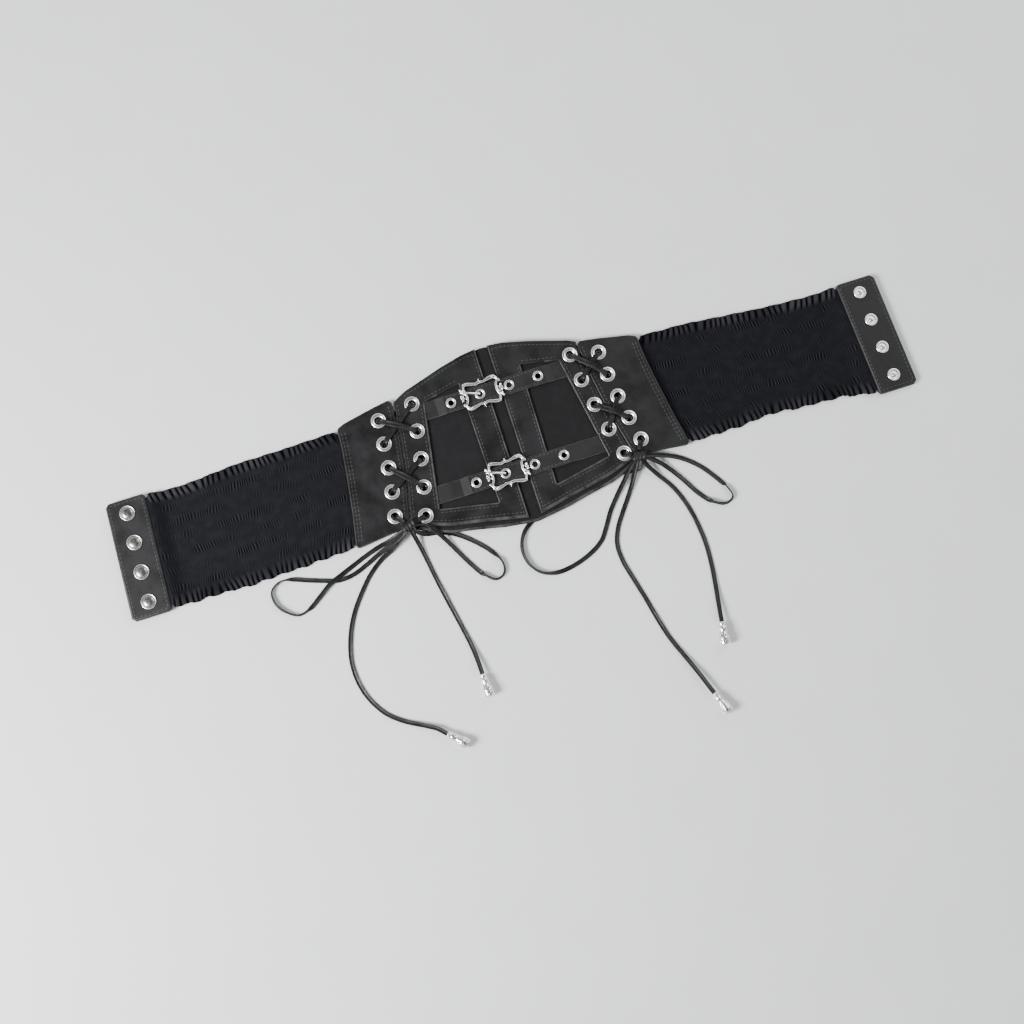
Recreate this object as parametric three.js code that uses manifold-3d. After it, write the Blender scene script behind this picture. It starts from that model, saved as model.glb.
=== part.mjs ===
// A wide corset belt lying on its back: a pointed centre panel of two framed halves on a backing,
// a laced wing on each side, a shirred elastic band behind each wing and a snap tab at each end.
// Millimetres, +X along the belt, +Y to its upper edge, +Z up from the surface that it lies on.
import * as THREE from 'three';
import { mergeVertices } from 'three/addons/utils/BufferGeometryUtils.js';
import Module from 'manifold-3d';

const wasm = await Module();
wasm.setup();

// Main sizes
const beltLength = 665;
const panelHeight = 152;
const panelHalfWidth = 95.3;
const wingReach = 142;
const wingTopShare = 0.745;
const sideHeight = 98;
const sideCentreY = -3;
const wingShift = 3.5;

// Leather layers, from the backing up
const backingThickness = 1.2;
const halfThickness = 1.4;
const seamGap = 1.4;
const stripWidth = 10.5;
const backingInset = 1.6;
const clearance = 0.3;
const floorClearance = 0.05;

// Laces
const laceWidth = 3.8;
const laceThickness = 1.2;
const laceCorner = 0.35;
const lacePinch = 0.62;
const bowStep = 11.4;

// Lacing eyelets
const eyeletRows = 5;
const eyeletHoleRadius = 2.65;
const eyeletWall = 0.55;
const eyeletFlangeRadius = 6.3;
const eyeletBackRadius = 4.6;
const eyeletCrown = 0.9;
const eyeletBackThickness = 0.6;
const panelTopRowShare = 0.622;
const panelPitchShare = 0.3013;
const panelInsetTop = 11.6;
const panelInsetBottom = 9.6;
const wingTopRowShare = 0.555;
const wingPitchShare = 0.2618;
const wingInsetTop = 14.6;
const wingInsetBottom = 12.3;
const eyeletCrestShare = 0.55;
const eyeletSides = 8;
const holeSides = 6;
const cutOverrun = 1;

// Straps and their eyelets
const strapWidth = 14.6;
const strapThickness = 1.2;
const strapTopShare = 0.5;
const strapBottomShare = -0.411;
const strapRamp = 7;
const strapEndClearance = 0.4;
const strapEyeletPitch = 24.8;
const strapEyeletHole = 2;
const strapEyeletWall = 0.5;
const strapEyeletRadius = 4.35;
const strapEyeletCrown = 0.7;
const strapEyeletSteps = [-1.5, -0.5, 0.5, 1.5];
const strapFlatEnd = 1;

// Buckles
const buckleLength = 38;
const buckleHeight = 24;
const buckleThickness = 2.6;
const buckleWindowLength = 21;
const buckleWindowHeight = 14;
const buckleWindowCorner = 3;
const buckleOffset = 1.2;
const prongRadius = 0.9;
const prongHookShare = 0.86;
const prongSteps = 8;

// Elastic sides
const elasticThickness = 1.2;
const elasticCrest = 1;
const shirringRows = 5;
const ruffleWidth = 8;
const rufflePitch = 16;
const ruffleRise = 1.3;
const ruffleSway = 0.9;
const tongueThickness = 1;
const tongueReach = 12;
const tongueInset = 4;
const elasticRamp = 16;

// End tabs and snaps
const tabWidth = 33;
const tabHeight = 98.5;
const tabLean = 3.7;
const tabThickness = 3.6;
const tabCorner = 3;
const tabLeftY = -6.4;
const tabRightY = -12.2;
const snapCount = 4;
const snapPitch = 24.7;
const snapPostRadius = 1.6;
const socketRadius = 5.2;
const socketHeight = 3;
const socketBore = 2.3;
const socketDepth = 1.9;
const capRadius = 6.25;
const capRise = 2.2;
const studPlateRadius = 5;
const studPlateThickness = 0.8;
const studRingRadius = 5.15;
const studRingRise = 0.9;
const nubRadius = 2;
const nubRise = 2.6;
const studDishShare = 0.6;
const snapSides = 8;

// Lace tips and knots
const tipLength = 18.5;
const tipRadius = 4.6;
const tipStart = 0.4;
const tipSides = 8;
const knotSize = { length: 13, width: 8.5, height: 6 };

// Rows of eyelets and straps, which follow the height of the panel
const panelHalfHeight = panelHeight / 2;
const panelRowTop = panelTopRowShare * panelHalfHeight;
const panelRowPitch = panelPitchShare * panelHalfHeight;
const wingRowTop = wingTopRowShare * panelHalfHeight;
const wingRowPitch = wingPitchShare * panelHalfHeight;
const strapTopY = strapTopShare * panelHalfHeight;
const strapBottomY = strapBottomShare * panelHalfHeight;

// Heights of the layers
const lowLaceZ = floorClearance + laceThickness / 2;
const eyeletBottom = lowLaceZ + laceThickness / 2 + clearance;
const leatherBottom = eyeletBottom + eyeletBackThickness + clearance;
const backingTop = leatherBottom + backingThickness;
const halfBottom = backingTop + clearance;
const leatherTop = halfBottom + halfThickness;
const flangeBottom = leatherTop + clearance;
const flangeTop = flangeBottom + eyeletCrown;
const highLaceZ = flangeTop + clearance + laceThickness / 2;
const crossingZ = highLaceZ + laceThickness + clearance;
const strapHigh = leatherTop + clearance;
const strapLow = backingTop + clearance;
const strapTop = strapHigh + strapThickness;
const strapFlangeBottom = strapTop + clearance;
const buckleBottom = strapTop + clearance;
const buckleTop = buckleBottom + buckleThickness;
const tabLeftBottom = socketHeight + clearance;
const tabRightBottom = studPlateThickness + clearance;
const eyeletBarrel = eyeletHoleRadius + eyeletWall;
const eyeletCut = (eyeletBarrel + clearance) / Math.cos(Math.PI / holeSides);
const strapBarrel = strapEyeletHole + strapEyeletWall;
const strapCut = (strapBarrel + clearance) / Math.cos(Math.PI / holeSides);

// The line between the centre panel and a wing: y as a share of the half height, x of the half width
const seamLine = [
  { y: 0.7, x: 0.83 },
  { y: 0.59, x: 0.835 },
  { y: 0.3, x: 0.856 },
  { y: 0.02, x: 0.888 },
  { y: -0.25, x: 0.927 },
  { y: -0.54, x: 0.977 },
  { y: -0.66, x: 1 },
];

// Upper and lower edges of the centre panel, as shares of its half width and half height
const panelTopEdge = [
  { x: 0.19, y: 0.978 },
  { x: 0.38, y: 0.92 },
  { x: 0.61, y: 0.832 },
  { x: 0.735, y: 0.785 },
  { x: 0.8, y: 0.745 },
];
const halfBottomEdge = [
  { x: 0.945, y: -0.668 },
  { x: 0.86, y: -0.708 },
  { x: 0.69, y: -0.776 },
  { x: 0.41, y: -0.842 },
];
const halfLowShare = -0.935;
const backingBottomEdge = [
  { x: 0.975, y: -0.7 },
  { x: 0.92, y: -0.732 },
  { x: 0.83, y: -0.785 },
  { x: 0.71, y: -0.842 },
  { x: 0.52, y: -0.885 },
  { x: 0.27, y: -0.953 },
];

// The window of a half, corner by corner
const windowCorners = [
  { x: 0.278, y: 0.685 },
  { x: 0.257, y: -0.682 },
  { x: 0.755, y: -0.56 },
  { x: 0.605, y: 0.604 },
];

// Outer edge of a wing: share of the side's height from the top, share of the wing's reach
const wingOuterEdge = [
  { down: 0, x: 0.908 },
  { down: 0.15, x: 0.912 },
  { down: 0.39, x: 0.931 },
  { down: 0.74, x: 0.966 },
  { down: 1, x: 1 },
];

// Upper edge of a wing: share of the way from the seam to the outer corner, share of the drop
const wingTopInset = 1.8;
const wingTopEdge = [
  { along: 0.3, drop: 0.22 },
  { along: 0.85, drop: 0.72 },
];

// Lower edge of a wing, in millimetres from its outer lower corner and from the foot of the seam
const wingLowerCorner = { in: 3, drop: 1.2 };
const wingFoot = [
  { out: 16, rise: 0.2 },
  { out: 4, rise: 0.4 },
  { out: 0.6, rise: 2.6 },
];

// How each elastic lies: share of its run from wing to tab, drop of its middle line as a share of
// the tab's own drop, and its half height as a share of the side height
const drapes = {
  left: [
    { run: 0, drop: 0, half: 0.494 },
    { run: 0.3, drop: 0.53, half: 0.5 },
    { run: 0.55, drop: 0.76, half: 0.505 },
    { run: 0.8, drop: 1.06, half: 0.482 },
    { run: 1, drop: 1, half: 0.49 },
  ],
  right: [
    { run: 0, drop: -0.04, half: 0.5 },
    { run: 0.25, drop: 0.06, half: 0.49 },
    { run: 0.45, drop: 0.15, half: 0.46 },
    { run: 0.65, drop: 0.46, half: 0.457 },
    { run: 0.84, drop: 0.65, half: 0.455 },
    { run: 1, drop: 1, half: 0.492 },
  ],
};

// Half of the cast outline of a buckle, as shares of its half length and half height; the other
// half is the same turned round
const buckleScroll = [
  [0.8, 0.02], [0.97, 0.1], [1, 0.26], [0.88, 0.38], [0.76, 0.42], [0.8, 0.58], [0.9, 0.7],
  [0.85, 0.85], [0.71, 0.9], [0.54, 0.84], [0.34, 0.74], [0.15, 0.76], [0.09, 0.96], [-0.03, 1],
  [-0.12, 0.9], [-0.18, 0.76], [-0.36, 0.74], [-0.54, 0.84], [-0.7, 0.9], [-0.81, 0.78],
  [-0.78, 0.6], [-0.88, 0.5], [-0.92, 0.34], [-0.8, 0.2],
];

// Domes of the caps and studs, as shares of radius and rise
const capDome = [
  { r: 0.86, rise: 0.55 },
  { r: 0.5, rise: 0.93 },
];
const studRim = { r: 0.86, rise: 1 };
const nubNeckShare = 0.9;
const nubShoulder = { r: 1, rise: 0.7 };
const nubTopShare = 0.7;

// Outline of a cast lace tip, as shares of its length and radius
const tipOutline = [
  { along: 0.25, r: 0.74 },
  { along: 0.45, r: 0.675 },
  { along: 0.75, r: 1 },
  { along: 1, r: 0.9 },
];
const tipMouthShare = 0.565;

// How a lace goes through an eyelet: distance from its middle and height off the face or floor
const passage = { reach: 5, lean: 1.8, dip: 0.3, lift: 0.2 };
const crossingShares = [0.38, 0.62];

// A prong from its hook on the bar to its tip in the eyelet: x from the named place, height from it
const prongRise = {
  hook: 0.4,
  bend: 0.7,
  reach: 1.4,
  slope: 3.2,
  slopeRise: 0.6,
  nose: 0.6,
  noseRise: 0.9,
};

// Bows: each point is x and y in millimetres and its height above the surface in lace thicknesses
const bowLeft = {
  knot: [-100, -49],
  loopOut: [
    [-104, -50.5, 6.4], [-110, -52.5, 4.6], [-118, -54.6, 2.6], [-129, -56.8, 1.3], [-141, -60.5, 0.55],
    [-153, -65, 0.6], [-164, -69.4, 1.7], [-174, -73.6, 2], [-185, -81, 1.3], [-196, -88, 0.55],
    [-205, -90, 0.55], [-214, -84.5, 0.55], [-220.5, -75, 0.55], [-220.5, -65, 0.55], [-213, -59.5, 0.55],
    [-202, -60.5, 0.55], [-190, -65, 0.55], [-177, -69.5, 0.55], [-166, -72.7, 0.55], [-154, -71.7, 0.55],
    [-141, -67, 0.6], [-129, -61.8, 1.3], [-117, -58, 3], [-108, -54.5, 5], [-103.5, -51, 6.4],
  ],
  loopBack: [
    [-97, -50, 6.4], [-92, -49.8, 6.4], [-86, -52.5, 6.1], [-80, -59.5, 4.9], [-74.5, -68, 2.4],
    [-69, -78, 0.9], [-62, -91, 0.55], [-53.5, -104, 0.55], [-45, -110.5, 0.55], [-38, -107.5, 0.55],
    [-36.5, -99, 0.55], [-42, -88, 0.55], [-50, -78.5, 0.55], [-60, -69.5, 0.55], [-70, -63, 0.55],
    [-80, -59.6, 0.55], [-88.5, -58.2, 1], [-94, -55.8, 3.6], [-97.5, -51.5, 6],
  ],
  tailLong: [
    [-103, -52, 6], [-109.5, -56.5, 4], [-118.5, -62, 1.9], [-129, -67, 0.7], [-141, -76, 0.55],
    [-152, -88, 0.55], [-163, -103, 0.55], [-171, -120, 0.55], [-175.5, -138, 0.55],
    [-175, -156, 0.55], [-170, -172, 0.55], [-161, -186, 0.6], [-149, -196, 0.9], [-136, -203.5, 2],
    [-126, -209.5, 3.4], [-119.6, -215.8, 4],
  ],
  tailShort: [
    [-99, -51, 6.2], [-98.2, -56, 4.9], [-96.5, -64, 2.4], [-94.5, -75, 0.7], [-91.5, -95, 0.55],
    [-87.5, -117, 0.55], [-83.5, -138, 0.6], [-80.5, -156, 1.4], [-79.4, -170, 3.2], [-79.1, -179.5, 4],
  ],
};
const bowRight = {
  knot: [94.5, -50.5],
  loopOut: [
    [91, -52.5, 6.4], [85, -57.5, 4.9], [77.5, -65.5, 2.7], [68, -75.5, 0.9], [59, -86, 0.55],
    [52.5, -96, 0.55], [45, -106, 0.55], [34, -113, 0.55], [18, -118.5, 0.55], [2, -120, 0.55],
    [-9.5, -116, 0.55], [-17, -106, 0.55], [-18.3, -93, 0.55], [-13.5, -82, 0.55], [-3, -73.5, 0.55],
    [11, -68, 0.55], [30, -64, 0.55], [50, -60.5, 0.55], [68, -58, 0.55], [79, -58, 0.55],
    [87, -60, 0.9], [92.5, -60.6, 2.4], [95.6, -57.6, 4.6], [95.4, -53.6, 6.2],
  ],
  loopBack: [
    [98, -51.5, 6.4], [104, -52.5, 5.6], [111.5, -54.6, 3.9], [120.5, -57.6, 1.7], [130, -63, 0.6],
    [140, -72, 0.55], [149, -84, 0.55], [156, -96.5, 0.55], [157.5, -104.5, 0.55],
    [150.5, -108, 0.55], [141, -103.5, 0.55], [132, -93, 0.55], [125, -81, 0.55], [118, -70, 0.9],
    [110.5, -61, 2.7], [103.5, -55.2, 5], [98.5, -52.4, 6.2],
  ],
  tailLong: [
    [92.5, -53.5, 6], [88.5, -60.5, 4], [83, -69.5, 1.6], [76, -79.5, 0.6], [68, -90, 0.55],
    [60.5, -101, 0.55], [56, -113, 0.55], [56, -127, 0.55], [59.5, -143, 0.55], [64, -162, 0.55],
    [68, -181, 0.55], [72.5, -198, 0.6], [78.5, -214, 1.3], [84.5, -230, 2.9], [90, -246, 3.9],
    [91.4, -249.8, 4],
  ],
  tailShort: [
    [96.5, -53.5, 6], [99.8, -60.5, 3.8], [106, -70, 1.3], [113.5, -81.5, 0.55], [119.5, -97, 0.55],
    [123, -115, 0.55], [124.3, -134, 0.55], [123, -153, 0.6], [120, -172, 1.4], [117, -188, 3.2],
    [115.3, -198, 4],
  ],
};

// Materials by finish
const finishes = {
  leather: { color: 0x1b1b1e, roughness: 0.42, metalness: 0 },
  backing: { color: 0x18181b, roughness: 0.55, metalness: 0 },
  strap: { color: 0x1c1c1f, roughness: 0.45, metalness: 0 },
  elastic: { color: 0x101118, roughness: 0.85, metalness: 0 },
  lace: { color: 0x17171a, roughness: 0.4, metalness: 0 },
  metal: { color: 0xc9c9c6, roughness: 0.25, metalness: 1 },
  antique: { color: 0xa9a8a4, roughness: 0.35, metalness: 1 },
};

const lerp = THREE.MathUtils.lerp;
const smooth = THREE.MathUtils.smoothstep;

// Value of one column of a table at a place in another column, rows in either order
function readTable(rows, key, value, place) {
  const sorted = [...rows].sort((a, b) => a[key] - b[key]);
  const last = sorted.length - 1;
  let i = sorted.findIndex((row) => row[key] > place);
  if (i < 0) i = last;
  i = Math.max(1, i);
  const [a, b] = [sorted[i - 1], sorted[i]];
  return lerp(a[value], b[value], (place - a[key]) / (b[key] - a[key]));
}

const seamX = (y) => panelHalfWidth * readTable(seamLine, 'y', 'x', y / panelHalfHeight);
const inPanel = ({ x, y }) => [x * panelHalfWidth, y * panelHalfHeight];
const mirrored = (side, points) => points.map(([x, y]) => [side * x, y]);

// Flat pieces: an outline with holes, raised from bottom by its thickness
function slab(outline, holes, bottom, thickness) {
  const corners = outline.map(([x, y]) => new THREE.Vector2(x, y));
  if (THREE.ShapeUtils.isClockWise(corners)) corners.reverse();
  const shape = new THREE.Shape(corners);
  shape.holes = holes.map((hole) => new THREE.Path(hole.map(([x, y]) => new THREE.Vector2(x, y))));
  const geometry = new THREE.ExtrudeGeometry(shape, { depth: thickness, bevelEnabled: false });
  return geometry.translate(0, 0, bottom);
}

function polygonHole(x, y, radius, sides = holeSides) {
  return Array.from({ length: sides }, (_, i) => {
    const angle = (2 * Math.PI * (i + 0.5)) / sides;
    return [x + radius * Math.cos(angle), y + radius * Math.sin(angle)];
  });
}

// Booleans
function toSolid(geometry) {
  const bare = geometry.clone();
  bare.deleteAttribute('normal');
  bare.deleteAttribute('uv');
  const merged = mergeVertices(bare, 1e-4);
  const triVerts = new Uint32Array(merged.index.array);
  const vertProperties = new Float32Array(merged.attributes.position.array);
  return new wasm.Manifold(new wasm.Mesh({ numProp: 3, vertProperties, triVerts }));
}

function toGeometry(solid) {
  const mesh = solid.getMesh();
  const geometry = new THREE.BufferGeometry();
  geometry.setAttribute('position', new THREE.BufferAttribute(mesh.vertProperties, 3));
  geometry.setIndex(new THREE.BufferAttribute(mesh.triVerts, 1));
  return geometry;
}

function cut(geometry, tools) {
  let solid = toSolid(geometry);
  for (const tool of tools) solid = solid.subtract(toSolid(tool));
  return toGeometry(solid);
}

function join(geometries) {
  let solid = toSolid(geometries[0]);
  for (const geometry of geometries.slice(1)) solid = solid.add(toSolid(geometry));
  return toGeometry(solid);
}

// A closed body through rings of points that run along +X, each ring counter-clockwise in y and z
function loft(rings) {
  const count = rings[0].length;
  const index = [];
  for (let s = 0; s < rings.length - 1; s += 1) {
    for (let i = 0; i < count; i += 1) {
      const a = s * count + i;
      const b = s * count + ((i + 1) % count);
      index.push(a, b, b + count, a, b + count, a + count);
    }
  }
  const capOf = (ring) => {
    const outline = ring.map(([, y, z]) => new THREE.Vector2(y, z));
    return THREE.ShapeUtils.triangulateShape(outline, []);
  };
  const last = (rings.length - 1) * count;
  capOf(rings[0]).forEach(([a, b, c]) => index.push(a, c, b));
  capOf(rings[rings.length - 1]).forEach(([a, b, c]) => index.push(last + a, last + b, last + c));
  const geometry = new THREE.BufferGeometry();
  geometry.setAttribute('position', new THREE.Float32BufferAttribute(rings.flat(2), 3));
  geometry.setIndex(index);
  return geometry;
}

// A flat lace follows its stations exactly; up is the side of the strip that faces away, and pinch
// the share of its width that is left where an eyelet bunches it
class LacePath extends THREE.Curve {
  constructor(stations) {
    super();
    this.stations = stations;
  }

  getPoint(t, target = new THREE.Vector3()) {
    const place = t * (this.stations.length - 1);
    const i = Math.min(Math.floor(place), this.stations.length - 2);
    return target.lerpVectors(this.stations[i].point, this.stations[i + 1].point, place - i);
  }

  getSpacedPoints() {
    return this.stations.map((station) => station.point.clone());
  }

  computeFrenetFrames() {
    const frames = { tangents: [], normals: [], binormals: [] };
    this.stations.forEach((station, i) => {
      const before = this.stations[Math.max(i - 1, 0)].point;
      const after = this.stations[Math.min(i + 1, this.stations.length - 1)].point;
      const tangent = after.clone().sub(before).normalize();
      const across = station.up.clone().cross(tangent).normalize();
      frames.tangents.push(tangent);
      frames.binormals.push(tangent.clone().cross(across));
      frames.normals.push(across.multiplyScalar(station.pinch));
    });
    return frames;
  }
}

// Sections of a lace: pulled flat where it is woven, with soft corners where it lies free
const [halfLace, halfLaceZ] = [laceWidth / 2, laceThickness / 2];
const wovenSection = [
  [halfLace, -halfLaceZ], [halfLace, halfLaceZ], [-halfLace, halfLaceZ], [-halfLace, -halfLaceZ],
];
const freeSection = [
  [halfLace, laceCorner - halfLaceZ], [halfLace, halfLaceZ - laceCorner],
  [halfLace - laceCorner, halfLaceZ], [laceCorner - halfLace, halfLaceZ],
  [-halfLace, halfLaceZ - laceCorner], [-halfLace, laceCorner - halfLaceZ],
  [laceCorner - halfLace, -halfLaceZ], [halfLace - laceCorner, -halfLaceZ],
];

function laceAlong(stations, section) {
  const shape = new THREE.Shape(section.map(([x, y]) => new THREE.Vector2(x, y)));
  const steps = stations.length - 1;
  return new THREE.ExtrudeGeometry(shape, { steps, extrudePath: new LacePath(stations) });
}

const up = new THREE.Vector3(0, 0, 1);
function station(x, y, z, facing = up, pinch = 1) {
  return { point: new THREE.Vector3(x, y, z), up: facing, pinch };
}

// The left lacing is looser, so both wings and their seams lie further to the left
const laced = (side, points) => points.map(([x, y]) => [x - side * wingShift, y]);

// Centre panel
const panelSeam = (side) =>
  laced(side, seamLine.map(inPanel).map(([x, y]) => [x - seamGap / 2, y]));

function backingPanel() {
  const top = panelTopEdge.map(inPanel).map(([x, y]) => [x, y - backingInset]);
  const apexTop = [0, panelHalfHeight - backingInset];
  const bottom = backingBottomEdge.map(inPanel);
  const edge = (side) => mirrored(side, [...top, ...panelSeam(side).slice(1), ...bottom]);
  const outline = [apexTop, ...edge(1), [0, -panelHalfHeight], ...edge(-1).reverse()];
  const eyelets = [...panelColumn(-1), ...panelColumn(1)];
  const holes = eyelets.map(({ x, y }) => polygonHole(x, y, eyeletCut));
  return slab(outline, holes, leatherBottom, backingThickness);
}

function panelHalf(side) {
  const innerX = stripWidth / 2;
  const outline = [
    [innerX, panelHalfHeight],
    ...panelTopEdge.map(inPanel),
    ...panelSeam(side),
    ...halfBottomEdge.map(inPanel),
    [innerX, halfLowShare * panelHalfHeight],
  ];
  const window = mirrored(side, windowCorners.map(inPanel));
  const holes = panelColumn(side).map(({ x, y }) => polygonHole(x, y, eyeletCut));
  return slab(mirrored(side, outline), [window, ...holes], halfBottom, halfThickness);
}

const windowOuterX = (y) => {
  const [bottom, top] = [windowCorners[2], windowCorners[3]];
  const share = (y / panelHalfHeight - bottom.y) / (top.y - bottom.y);
  return panelHalfWidth * lerp(bottom.x, top.x, share);
};

// Eyelet columns
function columnPlaces(side, top, pitch, insetTop, insetBottom, direction) {
  return Array.from({ length: eyeletRows }, (_, row) => {
    const y = top - row * pitch;
    const inset = lerp(insetTop, insetBottom, row / (eyeletRows - 1));
    return { x: side * (seamX(y) + direction * inset), y };
  });
}
const panelColumn = (side) =>
  columnPlaces(side, panelRowTop, panelRowPitch, panelInsetTop, panelInsetBottom, -1);
const wingColumn = (side) =>
  columnPlaces(side, wingRowTop, wingRowPitch, wingInsetTop, wingInsetBottom, 1)
    .map(({ x, y }) => ({ x: x - wingShift, y }));

// Wings
const sideTopY = sideCentreY + sideHeight / 2;
function wingEdgeX(side, y) {
  const share = readTable(wingOuterEdge, 'down', 'x', (sideTopY - y) / sideHeight);
  return wingReach * share - side * wingShift;
}

function wing(side) {
  const inner = seamLine.slice(0, -1).map(inPanel).map(([x, y]) => [x + seamGap / 2, y]);
  const outer = wingOuterEdge.map(({ down, x }) => [x * wingReach, sideTopY - down * sideHeight]);
  const [topX, topY] = [inner[0][0] + wingTopInset, wingTopShare * panelHalfHeight];
  const top = wingTopEdge.map(({ along, drop }) => [
    lerp(topX, outer[0][0], along),
    lerp(topY, sideTopY, drop),
  ]);
  const footY = seamLine[seamLine.length - 1].y * panelHalfHeight;
  const footX = seamX(footY) + seamGap / 2;
  const outline = [
    [topX, topY],
    ...top,
    ...outer,
    [wingReach - wingLowerCorner.in, sideTopY - sideHeight - wingLowerCorner.drop],
    ...wingFoot.map(({ out, rise }) => [footX + out, footY + rise]),
    ...inner.reverse(),
  ];
  const holes = wingColumn(side).map(({ x, y }) => polygonHole(x, y, eyeletCut));
  const placed = mirrored(side, laced(side, outline));
  return slab(placed, holes, leatherBottom, leatherTop - leatherBottom);
}

// End tabs, with a slot for the tongue of the elastic
const tabOuterX = beltLength / 2;
const tabInnerX = (y, centreY) => tabMiddleX(y, centreY) - tabWidth / 2;

function tabMiddleX(y, centreY) {
  return tabOuterX - tabWidth / 2 - (tabLean * (y - centreY + tabHeight / 2)) / tabHeight;
}

function tab(side, centreY, bottom) {
  const [high, low] = [centreY + tabHeight / 2, centreY - tabHeight / 2];
  const outerTop = tabMiddleX(high, centreY) + tabWidth / 2;
  const outline = [
    [tabInnerX(high, centreY), high],
    [tabInnerX(low, centreY), low],
    [tabOuterX - tabCorner, low],
    [tabOuterX, low + tabCorner],
    [outerTop, high - tabCorner],
    [outerTop - tabCorner, high],
  ];
  const holeRadius = snapPostRadius + 2 * clearance;
  const holes = snapPlaces(side, centreY).map(({ x, y }) => polygonHole(x, y, holeRadius));
  const body = slab(mirrored(side, outline), holes, bottom, tabThickness);
  const slotHeight = tongueThickness + 2 * clearance;
  const reach = tongueReach + clearance;
  const half = tabHeight / 2 - tongueInset + clearance;
  const slot = [
    [tabInnerX(centreY + half, centreY) - cutOverrun, centreY + half],
    [tabInnerX(centreY + half, centreY) + reach, centreY + half],
    [tabInnerX(centreY - half, centreY) + reach, centreY - half],
    [tabInnerX(centreY - half, centreY) - cutOverrun, centreY - half],
  ];
  const slotBottom = bottom + (tabThickness - slotHeight) / 2;
  return cut(body, [slab(mirrored(side, slot), [], slotBottom, slotHeight)]);
}

function snapPlaces(side, centreY) {
  return Array.from({ length: snapCount }, (_, i) => {
    const y = centreY + ((snapCount - 1) / 2 - i) * snapPitch;
    return { x: side * tabMiddleX(y, centreY), y };
  });
}

// Elastic: rows of shirring across a band, with a ruffle past the outer rows and a flat tongue at
// both ends
function elastic(side, drape, tabY, tabBottom) {
  const tongueAtTab = tabBottom + (tabThickness - tongueThickness) / 2;
  const tongueAtWing = leatherBottom - clearance - tongueThickness;
  const middleRun = tabInnerX(tabY, tabY) - wingEdgeX(side, sideCentreY);
  const waves = Math.round(middleRun / rufflePitch);
  const margin = seamGap / middleRun;
  const middle = (run) => lerp(sideCentreY, tabY, readTable(drape, 'run', 'drop', run));
  const placeX = (run, y) => {
    const inside = THREE.MathUtils.clamp(run, 0, 1);
    const beyond = (run - inside) * middleRun;
    return side * (lerp(wingEdgeX(side, y), tabInnerX(y, tabY), inside) + beyond);
  };
  const ring = (run, wave, tongueHalf) => {
    const inside = THREE.MathUtils.clamp(run, 0, 1);
    const fromWing = inside * middleRun;
    const fromTab = (1 - inside) * middleRun;
    const lift = tongueAtWing * (1 - smooth(fromWing, 0, elasticRamp / 2))
      + tongueAtTab * (1 - smooth(fromTab, 0, elasticRamp));
    const full = tongueHalf ? 0 : smooth(Math.min(fromWing, fromTab), 0, rufflePitch);
    const half = sideHeight * readTable(drape, 'run', 'half', inside) + wave * ruffleSway * full;
    const reach = tongueHalf || half;
    const seam = reach - ruffleWidth;
    const thin = lerp(tongueThickness, elasticThickness, full);
    const rise = wave > 0 ? ruffleRise * full : 0;
    const y0 = middle(inside);
    const points = [];
    const add = (y, z) => points.push([placeX(run, y0 + y), y0 + y, lift + z]);
    add(-seam, 0);
    add(seam, 0);
    add(reach, rise + thin / 2);
    add(seam, thin);
    const bands = 2 * (shirringRows + 1);
    for (let i = 1; i < bands; i += 1) {
      const crest = i % 2 === 1 ? elasticCrest * full : 0;
      add(lerp(seam, -seam, i / bands), thin + crest);
    }
    add(-seam, thin);
    add(-reach, rise + thin / 2);
    return points;
  };
  const reach = tongueReach / middleRun;
  const wingTongue = sideHeight / 2 - tongueInset;
  const tabTongue = tabHeight / 2 - tongueInset;
  const rings = [ring(-reach, 0, wingTongue), ring(0, 0, wingTongue)];
  for (let i = 0; i <= 2 * waves; i += 1) {
    rings.push(ring(lerp(margin, 1 - margin, i / (2 * waves)), i % 2 === 1 ? 1 : -1));
  }
  rings.push(ring(1, 0, tabTongue), ring(1 + reach, 0, tabTongue));
  return loft(side > 0 ? rings : rings.reverse());
}

// Turned metal pieces
function turned(profile, sides) {
  const points = profile.map(([r, z]) => new THREE.Vector2(r, z));
  return new THREE.LatheGeometry(points, sides).rotateX(Math.PI / 2);
}

function laceEyelet() {
  return turned([
    [eyeletHoleRadius, eyeletBottom],
    [eyeletBackRadius, eyeletBottom],
    [eyeletBarrel, eyeletBottom + eyeletBackThickness],
    [eyeletBarrel, flangeBottom],
    [eyeletFlangeRadius, flangeBottom],
    [lerp(eyeletHoleRadius, eyeletFlangeRadius, eyeletCrestShare), flangeTop],
    [eyeletHoleRadius, flangeBottom],
    [eyeletHoleRadius, eyeletBottom],
  ], eyeletSides);
}

function strapEyelet() {
  const bottom = strapHigh + clearance;
  const crest = lerp(strapEyeletHole, strapEyeletRadius, eyeletCrestShare);
  return turned([
    [strapEyeletHole, bottom],
    [strapBarrel, bottom],
    [strapBarrel, strapFlangeBottom],
    [strapEyeletRadius, strapFlangeBottom],
    [crest, strapFlangeBottom + strapEyeletCrown],
    [strapEyeletHole, strapFlangeBottom],
    [strapEyeletHole, bottom],
  ], eyeletSides);
}

function snapCap() {
  const seat = tabLeftBottom + tabThickness + clearance;
  return turned([
    [0, socketDepth],
    [socketBore, socketDepth],
    [socketBore, 0],
    [socketRadius, 0],
    [socketRadius, socketHeight],
    [snapPostRadius, socketHeight],
    [snapPostRadius, seat],
    [capRadius, seat],
    ...capDome.map(({ r, rise }) => [capRadius * r, seat + capRise * rise]),
    [0, seat + capRise],
  ], snapSides);
}

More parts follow.
